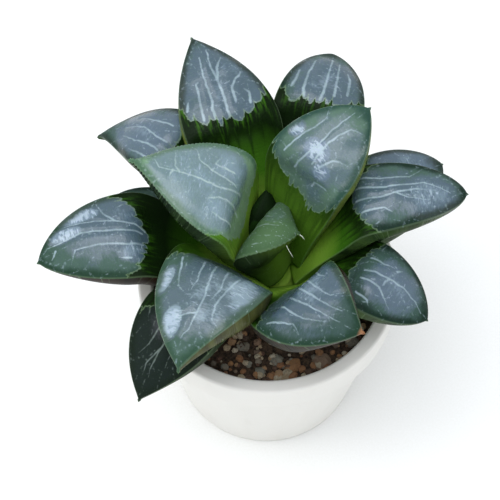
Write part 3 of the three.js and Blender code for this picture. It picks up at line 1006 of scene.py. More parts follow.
    def border_distance(self, share: np.ndarray, height: np.ndarray) -> np.ndarray:
        """The distance inside the window's edge, negative below it.

        Args:
            share: places across the face, from -1 to 1.
            height: places along the leaf, from its shoulder.

        Returns:
            The distances, roughly at right angles to the edge.
        """
        places = np.linspace(-self.WIDEST_SHARE, self.WIDEST_SHARE, self.EDGE_SAMPLES)
        slope = np.gradient(self.edge_height(places), (places[1] - places[0]) * self.width / 2)
        steepness = np.interp(share, places, slope)
        return (height - self.edge_height(share)) / np.sqrt(1 + np.minimum(steepness**2, self.STEEPEST**2))

    def vein_distance(self, across: np.ndarray, distance: np.ndarray) -> np.ndarray:
        """The distance from each place on the face to the nearest vein.

        Args:
            across: places across the leaf, in millimetres.
            distance: places along the leaf, from its root.

        Returns:
            The distances, at most VEIN_REACH.
        """
        nearest = np.full(across.shape, self.VEIN_REACH)
        aside, length = self.VEIN_WANDER
        wander = Waves(self.seed + self.VEIN_SEED, length)
        x = across + aside * wander.at(across, distance)
        y = distance + aside * wander.at(distance, across)
        for vein in self.veins:
            shares, heights = np.array(vein, float).T
            ends_y = self.blade + heights * self.window
            ends_x = shares * self.section(ends_y)[0]
            for i in range(len(vein) - 1):
                run = np.array([ends_x[i + 1] - ends_x[i], ends_y[i + 1] - ends_y[i]])
                share = ((x - ends_x[i]) * run[0] + (y - ends_y[i]) * run[1]) / (run @ run)
                share = np.clip(share, 0, 1)
                gap = np.hypot(x - ends_x[i] - share * run[0], y - ends_y[i] - share * run[1])
                gap += self.VEIN_TAPER * ((i + share) / (len(vein) - 1)) ** 2
                nearest = np.minimum(nearest, gap / self.vein_width)
        return nearest

    def painted_reflection_strength(self, across: np.ndarray, height: np.ndarray) -> np.ndarray:
        """The strength of the painted reflections, which also sets how smooth the window is: 0 outside them,
        and up to each one's strength inside it.

        Args:
            across: places across the leaf, in millimetres.
            height: places along the leaf, from its shoulder.

        Returns:
            The strength of the painted reflection.
        """
        full = np.zeros(across.shape)
        for share, along_window, wide, long, strength in self.painted_reflections:
            middle = along_window * self.window
            aside = share * self.section(np.array([self.blade + middle]))[0][0]
            away = ((across - aside) / wide) ** 2 + ((height - middle) / long) ** 2
            full = np.maximum(full, strength * np.clip(1 - away, 0, 1) ** self.REFLECTION_FLATNESS)
        return full

    def outline(self, distance: np.ndarray) -> tuple[np.ndarray, np.ndarray, np.ndarray, np.ndarray]:
        """The leaf's section at each station.

        Args:
            distance: distances from the root, as a column.

        Returns:
            The places across the leaf and out of its face, their shares of the half-width, and 1 for
            the back.
        """
        half, depth, crown = self.section(distance)
        even = np.linspace(1, -1, self.FACE_STEPS + 1)
        share = self.FACE_EVENNESS * even + (1 - self.FACE_EVENNESS) * np.sin(even * np.pi / 2)
        rounding = np.minimum(self.MARGIN_ROUND, self.THIN_ROUND * np.minimum(half, depth))
        inward = np.clip(rounding - half * (1 - np.abs(share)), 0, None)
        drop = rounding - np.sqrt(np.maximum(rounding**2 - inward**2, 0))
        face = crown * (1 - share**2) - drop
        turn = np.arange(1, self.BACK_STEPS) / self.BACK_STEPS
        angle = np.pi * (0.5 + 0.5 * np.cos(np.pi * turn))
        side = np.sign(np.cos(angle)) * np.abs(np.cos(angle)) ** self.BACK_FULLNESS
        below = np.sin(angle) ** self.BACK_FULLNESS
        side = side * (1 + self.BACK_BULGE * np.sin(angle))
        back = -(rounding + (depth - rounding) * below)
        shares = np.broadcast_to(np.concatenate([share, side]), (len(distance), len(share) + len(side)))
        flag = np.concatenate([np.zeros_like(share), np.ones_like(side)])
        return shares * half, np.concatenate([face, back], 1), shares, np.broadcast_to(flag, shares.shape)

    def build(self, finish: bpy.types.Material) -> bpy.types.Object:
        """Makes the leaf.

        Args:
            finish: material of the leaf.

        Returns:
            The leaf, which stands for its solid.
        """
        distance = self.stations()
        tangent, across_axis, normal_axis = self.directions(distance)
        across, out, share, back = self.outline(distance[:, None])
        along_leaf = np.broadcast_to(distance[:, None], across.shape)
        height = along_leaf - self.blade
        toothed = smooth((np.abs(share) - self.TOOTHED_SHARE) / (1 - self.TOOTHED_SHARE))
        toothed = self.teeth * toothed * self.past(self.TOOTHED_BLADE, height)
        across = across + np.sign(share) * toothed * np.abs(np.sin(np.pi * height / self.TOOTH_SPACING))
        vein = self.vein_distance(across, along_leaf)

        inner = smooth((1 - np.abs(share)) / self.CALM_RIM) * (1 - back) * self.past(self.CALM_BLADE, height)
        inner *= smooth((self.window - height) / self.CALM_TIP)
        waves = self.UNEVENNESS * Waves(self.seed, self.WAVE_LENGTH).at(across, height)
        out = out + inner * (waves - self.PANEL_SWELL * np.exp(-((vein / self.GROOVE_WIDTH) ** 2)))
        points = (
            self.midrib(distance)[:, None]
            + across[..., None] * across_axis[:, None]
            + out[..., None] * normal_axis[:, None]
        )
        ends = np.stack([points[0].mean(0), points[-1].mean(0) + self.TIP_POINT * tangent[-1]])
        made = as_mesh("leaf_skin_" + self.name, np.concatenate([points.reshape(-1, 3), ends]),
                       ring_faces(*across.shape))

        border = self.border_distance(share, height)
        margin = np.where(back > 0, 0, np.abs(across[:, :1]) - np.abs(across))

        def with_ends(values: np.ndarray) -> np.ndarray:
            """Adds the values of the two end points."""
            return np.concatenate([values.ravel(), [values[0, 0], values[-1, 0]]])

        keep(made, "place", np.stack([with_ends(v) for v in (across, height, back)], -1))
        keep(made, "marks", np.stack([with_ends(v) for v in (vein, border, margin)], -1))
        keep(made, "to_tip", with_ends(self.window - height))
        keep(made, "full", with_ends(self.painted_reflection_strength(across, height)))
        keep(made, "reach", with_ends(np.hypot(points[..., 0], points[..., 1])))
        made.data.materials.append(finish)
        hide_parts("leaf_" + self.name)
        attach(made, BODY)
        return made

    def tip(self) -> tuple[np.ndarray, np.ndarray, np.ndarray]:
        """The place of the tip, and the directions along the leaf and out of its face there."""
        distance = self.stations()
        tangent, _, normal = self.directions(distance[-1:])
        return self.midrib(distance)[-1], tangent[0], normal[0]


# Each leaf's name, then its azimuth, lean, blade, bend, window, width, twist, sweep, droop, taper, depth,
# root and age, as in Leaf.
LEAVES = (
    Leaf("m", -27, -22, 15, 84, 10, 19, -18, 13, 30, 0.95, 0.32, (1, -1), Age.YOUNG,
         edge=((-1, -9), (0, -13), (1, -10)), lobes=0.8,
         veins=(((0.3, -0.7), (0.35, -0.2), (0.2, 0.4)), ((-0.2, -0.6), (-0.15, 0), (-0.1, 0.6))),
         painted_reflections=((0.3, 0.4, 3.5, 3.5, 0.6),), teeth=0.4),
    Leaf("n", 92, 22, 9, 8, 9.2, 10, 55, 0, 6, 0.7, 0.3, (0.5, -0.5), Age.SHADED,
         edge=((-1, 4), (1, 4)), lobes=0.5, painted_reflections=()),
    Leaf("c", 163, 6, 25.5, 60, 24, 22.5, -5, 8, 13, 1.3, 0.42, (3.5, -0.5), Age.YOUNG,
         edge=((-1, 0), (-0.9, -3), (-0.7, -5), (-0.6, -5.5), (-0.35, -7.5), (-0.1, -9), (0.1, -9.8),
               (0.45, -8.5), (0.75, -2.5), (1, 5)), lobes=2.2, lobe_width=2.0,
         veins=(((-0.1, -0.05), (0.05, 0.19), (0.03, 0.38), (0.03, 0.56), (0.11, 0.74), (-0.4, 0.8)),
                ((-0.14, 0.05), (-0.26, 0.29), (-0.45, 0.42), (-0.76, 0.46)),
                ((0.03, 0.56), (-0.15, 0.61), (-0.8, 0.64)),
                ((0.03, 0.62), (0.38, 0.64)),
                ((0.2, -0.2), (0.23, 0.15), (0.34, 0.25), (0.56, 0.28)),
                ((-0.4, 0.1), (-0.44, 0.28), (-0.65, 0.24)),
                ((0.55, -0.1), (0.62, 0.1), (0.58, 0.2))),
         painted_reflections=((0.02, 0.4, 12, 13, 1.14), (0.5, 0.2, 6, 6.5, 1.3), (-0.45, 0.2, 6, 7.5, 1.3)), teeth=0.3),
    Leaf("f", 45, 12, 28.5, 49, 19, 20.5, 11, -10, 8, 0.8, 0.42, (4, -1), Age.INNER,
         edge=((-1, -0.5), (-0.85, -4), (-0.7, -6), (-0.5, -6.8), (-0.2, -6.2), (0, -5.4), (0.2, -4.6),
               (0.4, -3.8), (0.6, -2.6), (0.8, -1), (1, 3)), lobes=2.7, lobe_width=1.7,
         veins=(((0.26, -0.06), (0.21, 0.07), (0.14, 0.31), (0.19, 0.5), (0.21, 0.71), (0.28, 0.84)),
                ((0.64, 0.02), (0.59, 0.31), (0.54, 0.42), (0.59, 0.58), (0.9, 0.67)),
                ((-0.05, 0.12), (0.01, 0.4), (-0.06, 0.56), (-0.2, 0.69), (-0.62, 0.74)),
                ((-0.22, 0.14), (-0.36, 0.3), (-0.5, 0.34), (-0.66, 0.36)),
                ((-0.25, -0.14), (-0.3, -0.05), (-0.55, -0.02), (-0.7, -0.05)),
                ((0.8, 0.22), (0.72, 0.3))),
         painted_reflections=((-0.15, 0.35, 10, 9.5, 0.93), (0.07, 0.26, 4.4, 3.2, 2.05), (-0.3, 0.12, 3.2, 2.6, 1.65),
                 (0.8, 0.28, 2.6, 2.2, 2.0), (-0.35, -0.15, 4, 5, 0.7))),
    Leaf("k", 225, 29, 22.5, 51, 26, 24, 9, 40, 19, 1.2, 0.42, (4, -1.5), Age.INNER,
         edge=((-1, 4), (-0.9, 2), (-0.7, 0.5), (-0.5, -2), (-0.27, -6.5), (-0.15, -9), (0.35, -11),
               (0.84, -4), (1, -1)),
         veins=(((-0.71, 0.06), (-0.6, 0.19), (-0.51, 0.32), (-0.3, 0.37)),
                ((-0.3, 0.03), (-0.19, 0.22), (-0.22, 0.34)),
                ((-0.1, -0.04), (0.05, 0.24), (0.14, 0.39), (0.14, 0.53), (0.11, 0.67), (-0.11, 0.74)),
                ((0.1, -0.17), (0.3, 0.24), (0.26, 0.37)),
                ((0.45, 0.05), (0.41, 0.39), (0.54, 0.52), (0.83, 0.58)),
                ((0.14, 0.5), (-0.2, 0.56), (-0.34, 0.6))),
         painted_reflections=((0.15, 0.33, 11.5, 12, 1.05), (0.68, 0.2, 6.5, 8, 1.4), (0.35, 0.5, 5, 5, 1.2),
                 (-0.82, 0.3, 2, 4, 2.2), (-0.5, 0.62, 2.8, 4.4, 2.3))),
    Leaf("d", 109, 34, 31, 43, 24, 22, -2, 7, 8, 1, 0.42, (4.5, -2), Age.INNER, lobes=2.1,
         edge=((-1, 8), (-0.72, 4.4), (-0.5, 3.2), (0, 2.6), (0.5, 4), (0.8, 6), (1, 9.5)),
         veins=(((0.3, 0.08), (0.3, 0.2), (0.24, 0.3), (0.24, 0.42), (0.25, 0.56), (0.18, 0.75)),
                ((0.02, 0.06), (0.01, 0.15), (-0.04, 0.3), (-0.07, 0.46), (-0.07, 0.63), (-0.34, 0.8)),
                ((0.53, 0.14), (0.53, 0.22), (0.49, 0.39), (0.5, 0.5), (0.42, 0.51)),
                ((-0.22, 0.2), (-0.29, 0.35), (-0.5, 0.42), (-0.72, 0.47)),
                ((-0.07, 0.46), (-0.24, 0.59), (-0.6, 0.68)),
                ((0.82, 0.28), (0.76, 0.36)), ((-0.5, 0.16), (-0.6, 0.26), (-0.52, 0.3))),
         painted_reflections=((-0.1, 0.4, 14.5, 17, 0.97),), vein_width=1.35),
    Leaf("a", 183, 47, 31, 38, 23, 20.5, -10, 18, 22, 0.75, 0.42, (5, -3), Age.MIDDLE,
         edge=((-1, 6.5), (-0.7, 2.6), (-0.3, 0.8), (0, -0.6), (0.3, -0.4), (0.55, 0.6), (0.8, 2.4),
               (1, 5.5)),
         veins=(((-0.05, -0.06), (-0.15, 0.03), (-0.3, 0.21), (-0.49, 0.47), (-0.7, 0.66)),
                ((0.02, -0.02), (-0.09, 0.27), (-0.25, 0.54), (-0.26, 0.73), (-0.5, 0.88)),
                ((0.27, -0.02), (0.28, 0.12), (0.19, 0.38), (0.18, 0.62), (0.62, 0.7)),
                ((-0.3, 0.21), (-0.56, 0.3), (-0.86, 0.34)),
                ((0.6, 0.12), (0.55, 0.24)), ((-0.05, 0.8), (0.3, 0.86))),
         painted_reflections=((-0.25, 0.25, 10.5, 13, 0.93), (-0.72, 0.5, 2, 5.4, 2.2), (-0.42, 0.66, 2, 4.6, 2.0),
                 (0.4, 0.1, 3.5, 4.5, 1.3))),
    Leaf("j", -82, 33, 26.5, 21, 19.5, 21.5, 27, 58, 39, 1, 0.42, (5, -3), Age.MIDDLE,
         edge=((-1, -0.5), (-0.74, -2.6), (-0.4, -6), (0.2, -9), (0.6, -4), (1, 4)),
         veins=(((0.38, -0.2), (0.36, 0.1), (0.38, 0.34), (0.45, 0.51), (0.85, 0.62)),
                ((0.1, -0.1), (0.16, 0.26), (0.19, 0.43), (0.24, 0.58), (0.38, 0.71)),
                ((-0.12, -0.1), (-0.11, 0.19), (-0.05, 0.37), (-0.04, 0.55), (-0.01, 0.75)),
                ((-0.36, -0.14), (-0.35, 0.22), (-0.36, 0.38), (-0.22, 0.62)),
                ((-0.78, 0), (-0.64, 0.17), (-0.55, 0.31), (-0.71, 0.42)),
                ((0.62, 0), (0.6, 0.2), (0.68, 0.3))),
         painted_reflections=((0.35, 0.25, 8.5, 9, 1.15), (0, 0.2, 9.5, 11, 0.8), (0, 0.5, 4, 4, 0.8))),
    Leaf("g", 11, 29, 28.5, 51, 24, 17, 6, -9, 22, 0.6, 0.45, (5, -3.5), Age.MIDDLE, lobes=1.2,
         edge=((-1, 4), (-0.8, 2), (-0.5, 0.4), (0, -1.2), (0.3, -0.2), (0.6, 2), (1, 6)),
         veins=(((0.55, 0.04), (0.53, 0.11), (0.41, 0.31), (0.46, 0.48), (0.78, 0.6)),
                ((0.3, 0), (0.29, 0.05), (0.14, 0.26), (0.18, 0.43), (0.25, 0.6), (0.1, 0.73), (-0.15, 0.83)),
                ((-0.02, -0.02), (-0.1, 0.2), (-0.07, 0.33), (-0.24, 0.45), (-0.4, 0.63)),
                ((-0.38, 0.02), (-0.42, 0.22), (-0.57, 0.28)), ((-0.07, 0.3), (0.02, 0.5), (0.0, 0.62))),
         painted_reflections=((-0.2, 0.62, 6, 8.5, 1.25), (0, 0.25, 8, 9, 0.8))),
    Leaf("b", 134, 39, 33.5, 70, 24, 18, -7, 27, 21, 1.4, 0.42, (6, -4.5), Age.OUTER,
         veins=(((0.12, 0.06), (0.1, 0.16), (-0.1, 0.33), (-0.09, 0.57)),
                ((0.42, 0.08), (0.35, 0.2), (0.38, 0.37), (0.3, 0.56)),
                ((-0.36, 0.1), (-0.4, 0.3), (-0.5, 0.46)), ((0.7, 0.14), (0.66, 0.3), (0.7, 0.42))),
         painted_reflections=((0, 0.3, 9, 11, 1.0),)),
    Leaf("e", 65, 42, 34, 46, 19, 20.5, 8, 17, 20, 0.6, 0.42, (6, -4.5), Age.MIDDLE,
         edge=((-1, 6), (-0.5, 4.4), (-0.3, 4), (0.2, 2.4), (0.4, 3.4), (0.65, 2.6), (1, 5.5)),
         veins=(((0.4, 0.14), (0.46, 0.24), (0.49, 0.43), (0.54, 0.74)),
                ((0.02, 0.14), (0, 0.26), (0, 0.5), (-0.05, 0.8)),
                ((-0.25, 0.22), (-0.25, 0.46), (-0.32, 0.74)),
                ((0.74, 0.24), (0.72, 0.42), (0.76, 0.52)), ((-0.55, 0.3), (-0.6, 0.5), (-0.56, 0.62))),
         painted_reflections=((0, 0.42, 10.5, 10, 1.05),), vein_width=1.5),
    Leaf("i", -24, 38, 25, 69, 17.5, 17.5, 1, -10, 13, 0.7, 0.42, (6.5, -5.5), Age.OUTER,
         edge=((-1, 2), (0, -4), (1, 2)),
         veins=(((0.03, 0), (0.09, 0.24), (0.16, 0.48), (0.1, 0.71), (-0.09, 0.87)),
                ((-0.2, 0), (-0.26, 0.25), (-0.44, 0.36), (-0.62, 0.5)),
                ((0.08, 0.3), (-0.22, 0.26)), ((-0.62, 0.04), (-0.7, 0.2), (-0.8, 0.26)),
                ((0.42, 0), (0.4, 0.18), (0.48, 0.3)), ((0.44, 0.34), (0.6, 0.4))),
         painted_reflections=((0, 0.4, 7, 7.5, 1.05),)),
    Leaf("h", 29, 58, 24.5, 27, 18, 20, 9, 0, 11, 0.65, 0.4, (7, -6), Age.OUTER,
         veins=(((0.2, 0.1), (0.25, 0.4), (0.31, 0.7)), ((-0.2, 0.1), (-0.16, 0.5), (-0.3, 0.7)),
                ((-0.55, 0.2), (-0.5, 0.45), (-0.62, 0.6))),
         painted_reflections=((0.15, 0.45, 11, 10, 1.2),)),
    Leaf("q", 97, 60, 20, 26, 16, 18, 0, 0, 8, 0.8, 0.4, (7, -6), Age.OUTER,
         veins=(((0.5, 0.1), (0.46, 0.4), (0.5, 0.6)), ((0.1, 0.05), (0.14, 0.4), (0.06, 0.75)),
                ((-0.3, 0.08), (-0.26, 0.35), (-0.4, 0.6)), ((0.14, 0.4), (0.34, 0.55)))),
    Leaf("p", 160, 63, 19, 14, 15, 18.5, 1, 0, 6, 0.6, 0.4, (7, -6.5), Age.OUTER,
         veins=(((0.45, 0.12), (0.5, 0.4), (0.42, 0.64)), ((0.05, 0.06), (0, 0.4), (0.04, 0.8)),
                ((-0.36, 0.1), (-0.4, 0.4), (-0.3, 0.62)), ((0, 0.36), (-0.2, 0.5)))),
    Leaf("l", 224, 46, 26.5, 60, 20.5, 19, -4, 22, 16, 1, 0.42, (7, -6.5), Age.OLDEST,
         veins=(((-0.26, 0.02), (-0.29, 0.27), (-0.36, 0.44), (-0.6, 0.56)),
                ((0.03, 0.06), (0.01, 0.43), (0, 0.6), (0.06, 0.74)),
                ((0.34, 0.1), (0.3, 0.36), (0.42, 0.58)), ((0.01, 0.4), (-0.2, 0.6), (-0.28, 0.74))),
         painted_reflections=((-0.2, 0.2, 4, 4, 0.6),), vein_width=0.8),
)


WAXY = {
    Age.YOUNG: LeafFinish(
        "waxy_young_leaf", window="#78977a", painted_sheen="#697f88", painted_bright_reflection="#7d949f", rim="#4c6c54", vein="#abc0be",
        shade="#264a12", vivid="#568a22", back="#2a3d22", back_dark="#141f12", glow=0.2, pale_root=1.0),
    # leaf n: every colour near black green, painted shade
    Age.SHADED: LeafFinish(
        "waxy_shaded_leaf", window="#182c11", painted_sheen="#182c11", painted_bright_reflection="#182c11", rim="#101f0c", vein="#182c11",
        fringe="#182c11", shade="#101f0c", vivid="#182c11", base="#1f3c12", back="#182c11",
        back_dark="#101f0c", gloss=0.5, coat=0.0, shine=0.2, pale_root=0.0),
    Age.INNER: LeafFinish(
        "waxy_inner_leaf", vivid="#44781a", base="#96c048", back="#75843c", back_dark="#55662e"),
    Age.MIDDLE: LeafFinish("waxy_middle_leaf"),
    Age.OUTER: LeafFinish("waxy_outer_leaf", window="#425a52", painted_sheen="#566979"),
    Age.OLDEST: LeafFinish(
        "waxy_oldest_leaf", window="#1d2723", painted_sheen="#262c31", painted_bright_reflection="#363e45", painted_glint="#4d565e",
        rim="#172219", vein="#78857f", shade="#0f1c0a", vivid="#1c380e", back="#2a3420", gloss=0.42,
        coat=0.1, shine=0.3),
}  # the usual finish at each age
WEATHERED = replace(
    WAXY[Age.MIDDLE], name="waxy_weathered_leaf", back="#302419", back_dark="#1b1810", rim="#233c2d")
OWN_FINISHES = {
    "a": WEATHERED,
    "j": replace(
        WEATHERED, name="waxy_leaf_with_dried_tip", dried=1.1, back="#33281a", back_dark="#1c1a10", painted_window_shadow=0.5,
        window="#3f5450"),
    # painted light: a lighter rim, brighter painted reflection and little painted shade under the window
    "k": replace(
        WAXY[Age.INNER], name="waxy_sunlit_leaf", rim="#35503f", painted_window_shadow=0.2, vivid="#406c19", painted_sheen="#52656f",
        painted_bright_reflection="#889ca7", back="#565b31", back_dark="#3a3b22", pale_root=0.3),
    # painted shade: a darker base and vivid for a blade that lies in shade
    "f": replace(
        WAXY[Age.INNER], name="waxy_deep_green_leaf", base="#4d7320", vivid="#20420d", window="#5a7465",
        rim="#2d4a40", painted_bright_reflection="#63778a", painted_sheen="#52676f"),
    "m": replace(
        WAXY[Age.YOUNG], name="mealy_youngest_leaf", window="#4d6850", rim="#4a6646", painted_sheen="#536d60",
        painted_bright_reflection="#637d74", gloss=0.5, coat=0.05, flecks=0.7, glow=0.1, pale_root=1.0, pale_reach=9.5),
}  # the finishes of the leaves that differ from others of their age


@dataclass
class Rosette:
    """The sixteen leaves, with a bristle and a curly awn on the youngest and a dried tip on an older one."""

    leaves: Sequence[Leaf] = LEAVES
    bristled: str = "m"
    bristle_radii: Sequence[float] = (0.2, 0.13, 0.11, 0.1, 0.08, 0.05)
    bristle_steps: Sequence[float] = (0.6, 0.5, 0.4, 0.4, 0.4, 0.3)
    awn: Sequence[Place] = (
        (-3.5, -0.9, 0.1), (-3.3, -1.8, 0.4), (-2.9, -2.7, 0.1), (-2.4, -3.5, -0.5), (-1.9, -4.2, -1.1),
        (-1.4, -4.8, -1.7), (-1.0, -5.3, -2.2))  # from the youngest leaf's tip
    awn_radii: Sequence[float] = (0.1, 0.1, 0.09, 0.08, 0.07, 0.05)
    papery: DriedFinish = DriedFinish("papery_bristle", "#f1f5ea", "#cdd8bd")
    dried_tip: str = "j"
    dried_radii: Sequence[float] = (0.45, 0.3, 0.1)
    dried_steps: Sequence[float] = (0.4, 0.25, 0.25)
    dead: DriedFinish = DriedFinish("papery_dead_tip", "#b98d66", "#6c452c")
    tip_overlap: Point = (0.4, 0.2)  # how far a spike starts back along the leaf, and into it
    tip_curl: float = 0.25  # how much a spike turns back at each step
    ridge: float = 0.18  # height of a thread's ridges, as a share of its radius
    thread_sides: int = 12

    def build(self) -> None:
        """Makes every leaf, then what stands on their tips."""
        by_age = {age: finish.build() for age, finish in WAXY.items()}
        own = {name: finish.build() for name, finish in OWN_FINISHES.items()}
        for leaf in self.leaves:
            finish = own.get(leaf.name, by_age[leaf.age])
            piece = leaf.build(finish)
            LOG.info("%s: %d faces, finish %s", piece.name, len(piece.data.polygons), finish.name)
        papery = self.papery.build()
        self.build_tip(self.bristled, "leaf_bristle", self.bristle_radii, self.bristle_steps, papery)
        self.build_awn(papery)
        self.build_tip(self.dried_tip, "dried_leaf_tip", self.dried_radii, self.dried_steps,
                       self.dead.build())

    def owner(self, name: str) -> Leaf:
        """The leaf of a name."""
        return next(leaf for leaf in self.leaves if leaf.name == name)

    def build_tip(self, owner: str, name: str, radii: Sequence[float], steps: Sequence[float],
                  finish: bpy.types.Material) -> None:
        """Makes a short curved spike on a leaf's tip.

        Args:
            owner: name of the leaf that carries it.
            name: name of the piece.
            radii: radius at each step along the spike.
            steps: length of each step.
            finish: material of the spike.
        """
        leaf = self.owner(owner)
        place, heading, normal = leaf.tip()
        back, inward = self.tip_overlap
        centres = [place - back * heading - inward * normal]
        for step in steps:
            heading = heading - self.tip_curl * normal
            centres.append(centres[-1] + step * heading / np.linalg.norm(heading))
        self.build_thread(leaf, name, np.array(centres), radii, finish)

    def build_awn(self, finish: bpy.types.Material) -> None:
        """Makes the long thread that curls down from the youngest leaf's margin."""
        leaf = self.owner(self.bristled)
        self.build_thread(leaf, "curly_awn", leaf.tip()[0] + np.array(self.awn), self.awn_radii, finish)

    def build_thread(self, leaf: Leaf, name: str, centres: np.ndarray, radii: Sequence[float],
                     finish: bpy.types.Material) -> None:
        """Makes a thin thread with a slightly ridged section.

        Args:
            leaf: leaf that carries it.
            name: name of the piece.
            centres: middle of each ring, then the thread's end.
            radii: radius of each ring.
            finish: material of the thread.
        """
        rings = []
        angle = np.linspace(0, 2 * np.pi, self.thread_sides, endpoint=False)
        normal = leaf.tip()[2]
        for centre, heading, radius in zip(centres, np.gradient(centres, axis=0), radii):
            heading = heading / np.linalg.norm(heading)
            across = np.cross(heading, normal)
            across = across / np.linalg.norm(across)
            ring = np.outer(np.sin(angle), across) + np.outer(np.cos(angle), np.cross(across, heading))
            rough = 1 + self.ridge * np.sin(3 * angle + 5 * radius)
            rings.append(centre + radius * rough[:, None] * ring)
        points = np.concatenate([*rings, centres[:1], centres[-1:]])
        piece = as_mesh(name, points, ring_faces(len(rings), self.thread_sides))
        piece.data.materials.append(finish)
        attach(piece, BODY)
        LOG.info("%s on leaf_%s", name, leaf.name)


# ---- Stock, soil and pot ----


@dataclass
class Stock:
    """The short stock under the crown and its thick roots."""

    profile: Line = ((0, -20), (3.2, -20), (5.6, -14), (7.2, -8), (5.6, -4), (3.6, -1), (1.6, 0.6), (0, 0.8))
    sides: int = 64
    roots: int = 5
    root_radius: float = 1.5
    root_reach: float = 15.0
    root_drop: float = 14.0
    root_top: float = -15.0
    root_taper: float = 0.25  # share of its radius that a root loses by its end
    root_sides: int = 16
    root_steps: int = 24
    scar: float = 0.15  # depth of a leaf scar
    scar_spacing: float = 1.6
    scarred_radius: float = 1.0  # the scars keep this far from the axis
    ring_step: float = 0.4

    def build(self) -> None:
        """Makes the stock with its rings of scars, and the roots, as one piece."""
        outline = along([(radius, CROWN + height) for radius, height in self.profile], self.ring_step)
        worn = [(self.worn(radius, height), height) for radius, height in outline]
        points, faces = turned(worn, self.sides)
        for i in range(self.roots):
            root_points, root_faces = self.root(2 * math.pi * i / self.roots)
            faces += [[k + len(points) for k in face] for face in root_faces]
            points = np.concatenate([points, root_points])
        piece = as_mesh("root_stock", points, faces)
        piece.data.materials.append(StockFinish().build())
        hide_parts("stem")
        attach(piece, BODY)
        LOG.info("%s: %d roots", piece.name, self.roots)

    def worn(self, radius: float, height: float) -> float:
        """The stock's radius with its scars.

        Args:
            radius: radius of the plain stock.
            height: height above the ground.

        Returns:
            The radius, which is less in a scar.
        """
        if radius <= self.scarred_radius:
            return radius
        return radius - self.scar * math.sin(math.pi * height / self.scar_spacing) ** 2

    def root(self, heading: float) -> tuple[np.ndarray, Faces]:
        """One root, which spreads and turns down.

        Args:
            heading: direction that it grows in, in radians.

        Returns:
            Its points and faces.
        """
        out = np.array([math.cos(heading), math.sin(heading), 0])
        start = np.array([0, 0, CROWN + self.root_top])
        elbow = start + out * self.root_reach * 0.8
        end = start + out * self.root_reach - np.array([0, 0, self.root_drop])
        angle = np.linspace(0, 2 * np.pi, self.root_sides, endpoint=False)
        side = np.array([-out[1], out[0], 0])
        rings = []
        for t in np.linspace(0, 1, self.root_steps):
            centre = (1 - t) ** 2 * start + 2 * t * (1 - t) * elbow + t * t * end
            heading_here = 2 * (1 - t) * (elbow - start) + 2 * t * (end - elbow)
            above = np.cross(heading_here / np.linalg.norm(heading_here), side)
            radius = self.root_radius * (1 - self.root_taper * t)
            rings.append(centre + radius * (np.outer(np.sin(angle), side) + np.outer(np.cos(angle), above)))
        return np.concatenate([*rings, [start], [end]]), ring_faces(self.root_steps, self.root_sides)


def inner_radius(height: float) -> float:
    """The radius of the pot's inner face at a height."""
    share = min(height / (POT_HEIGHT - RIM_BAND), 1)
    return BASE_RADIUS - POT_WALL + (RIM_RADIUS - RIM_STEP - BASE_RADIUS) * share


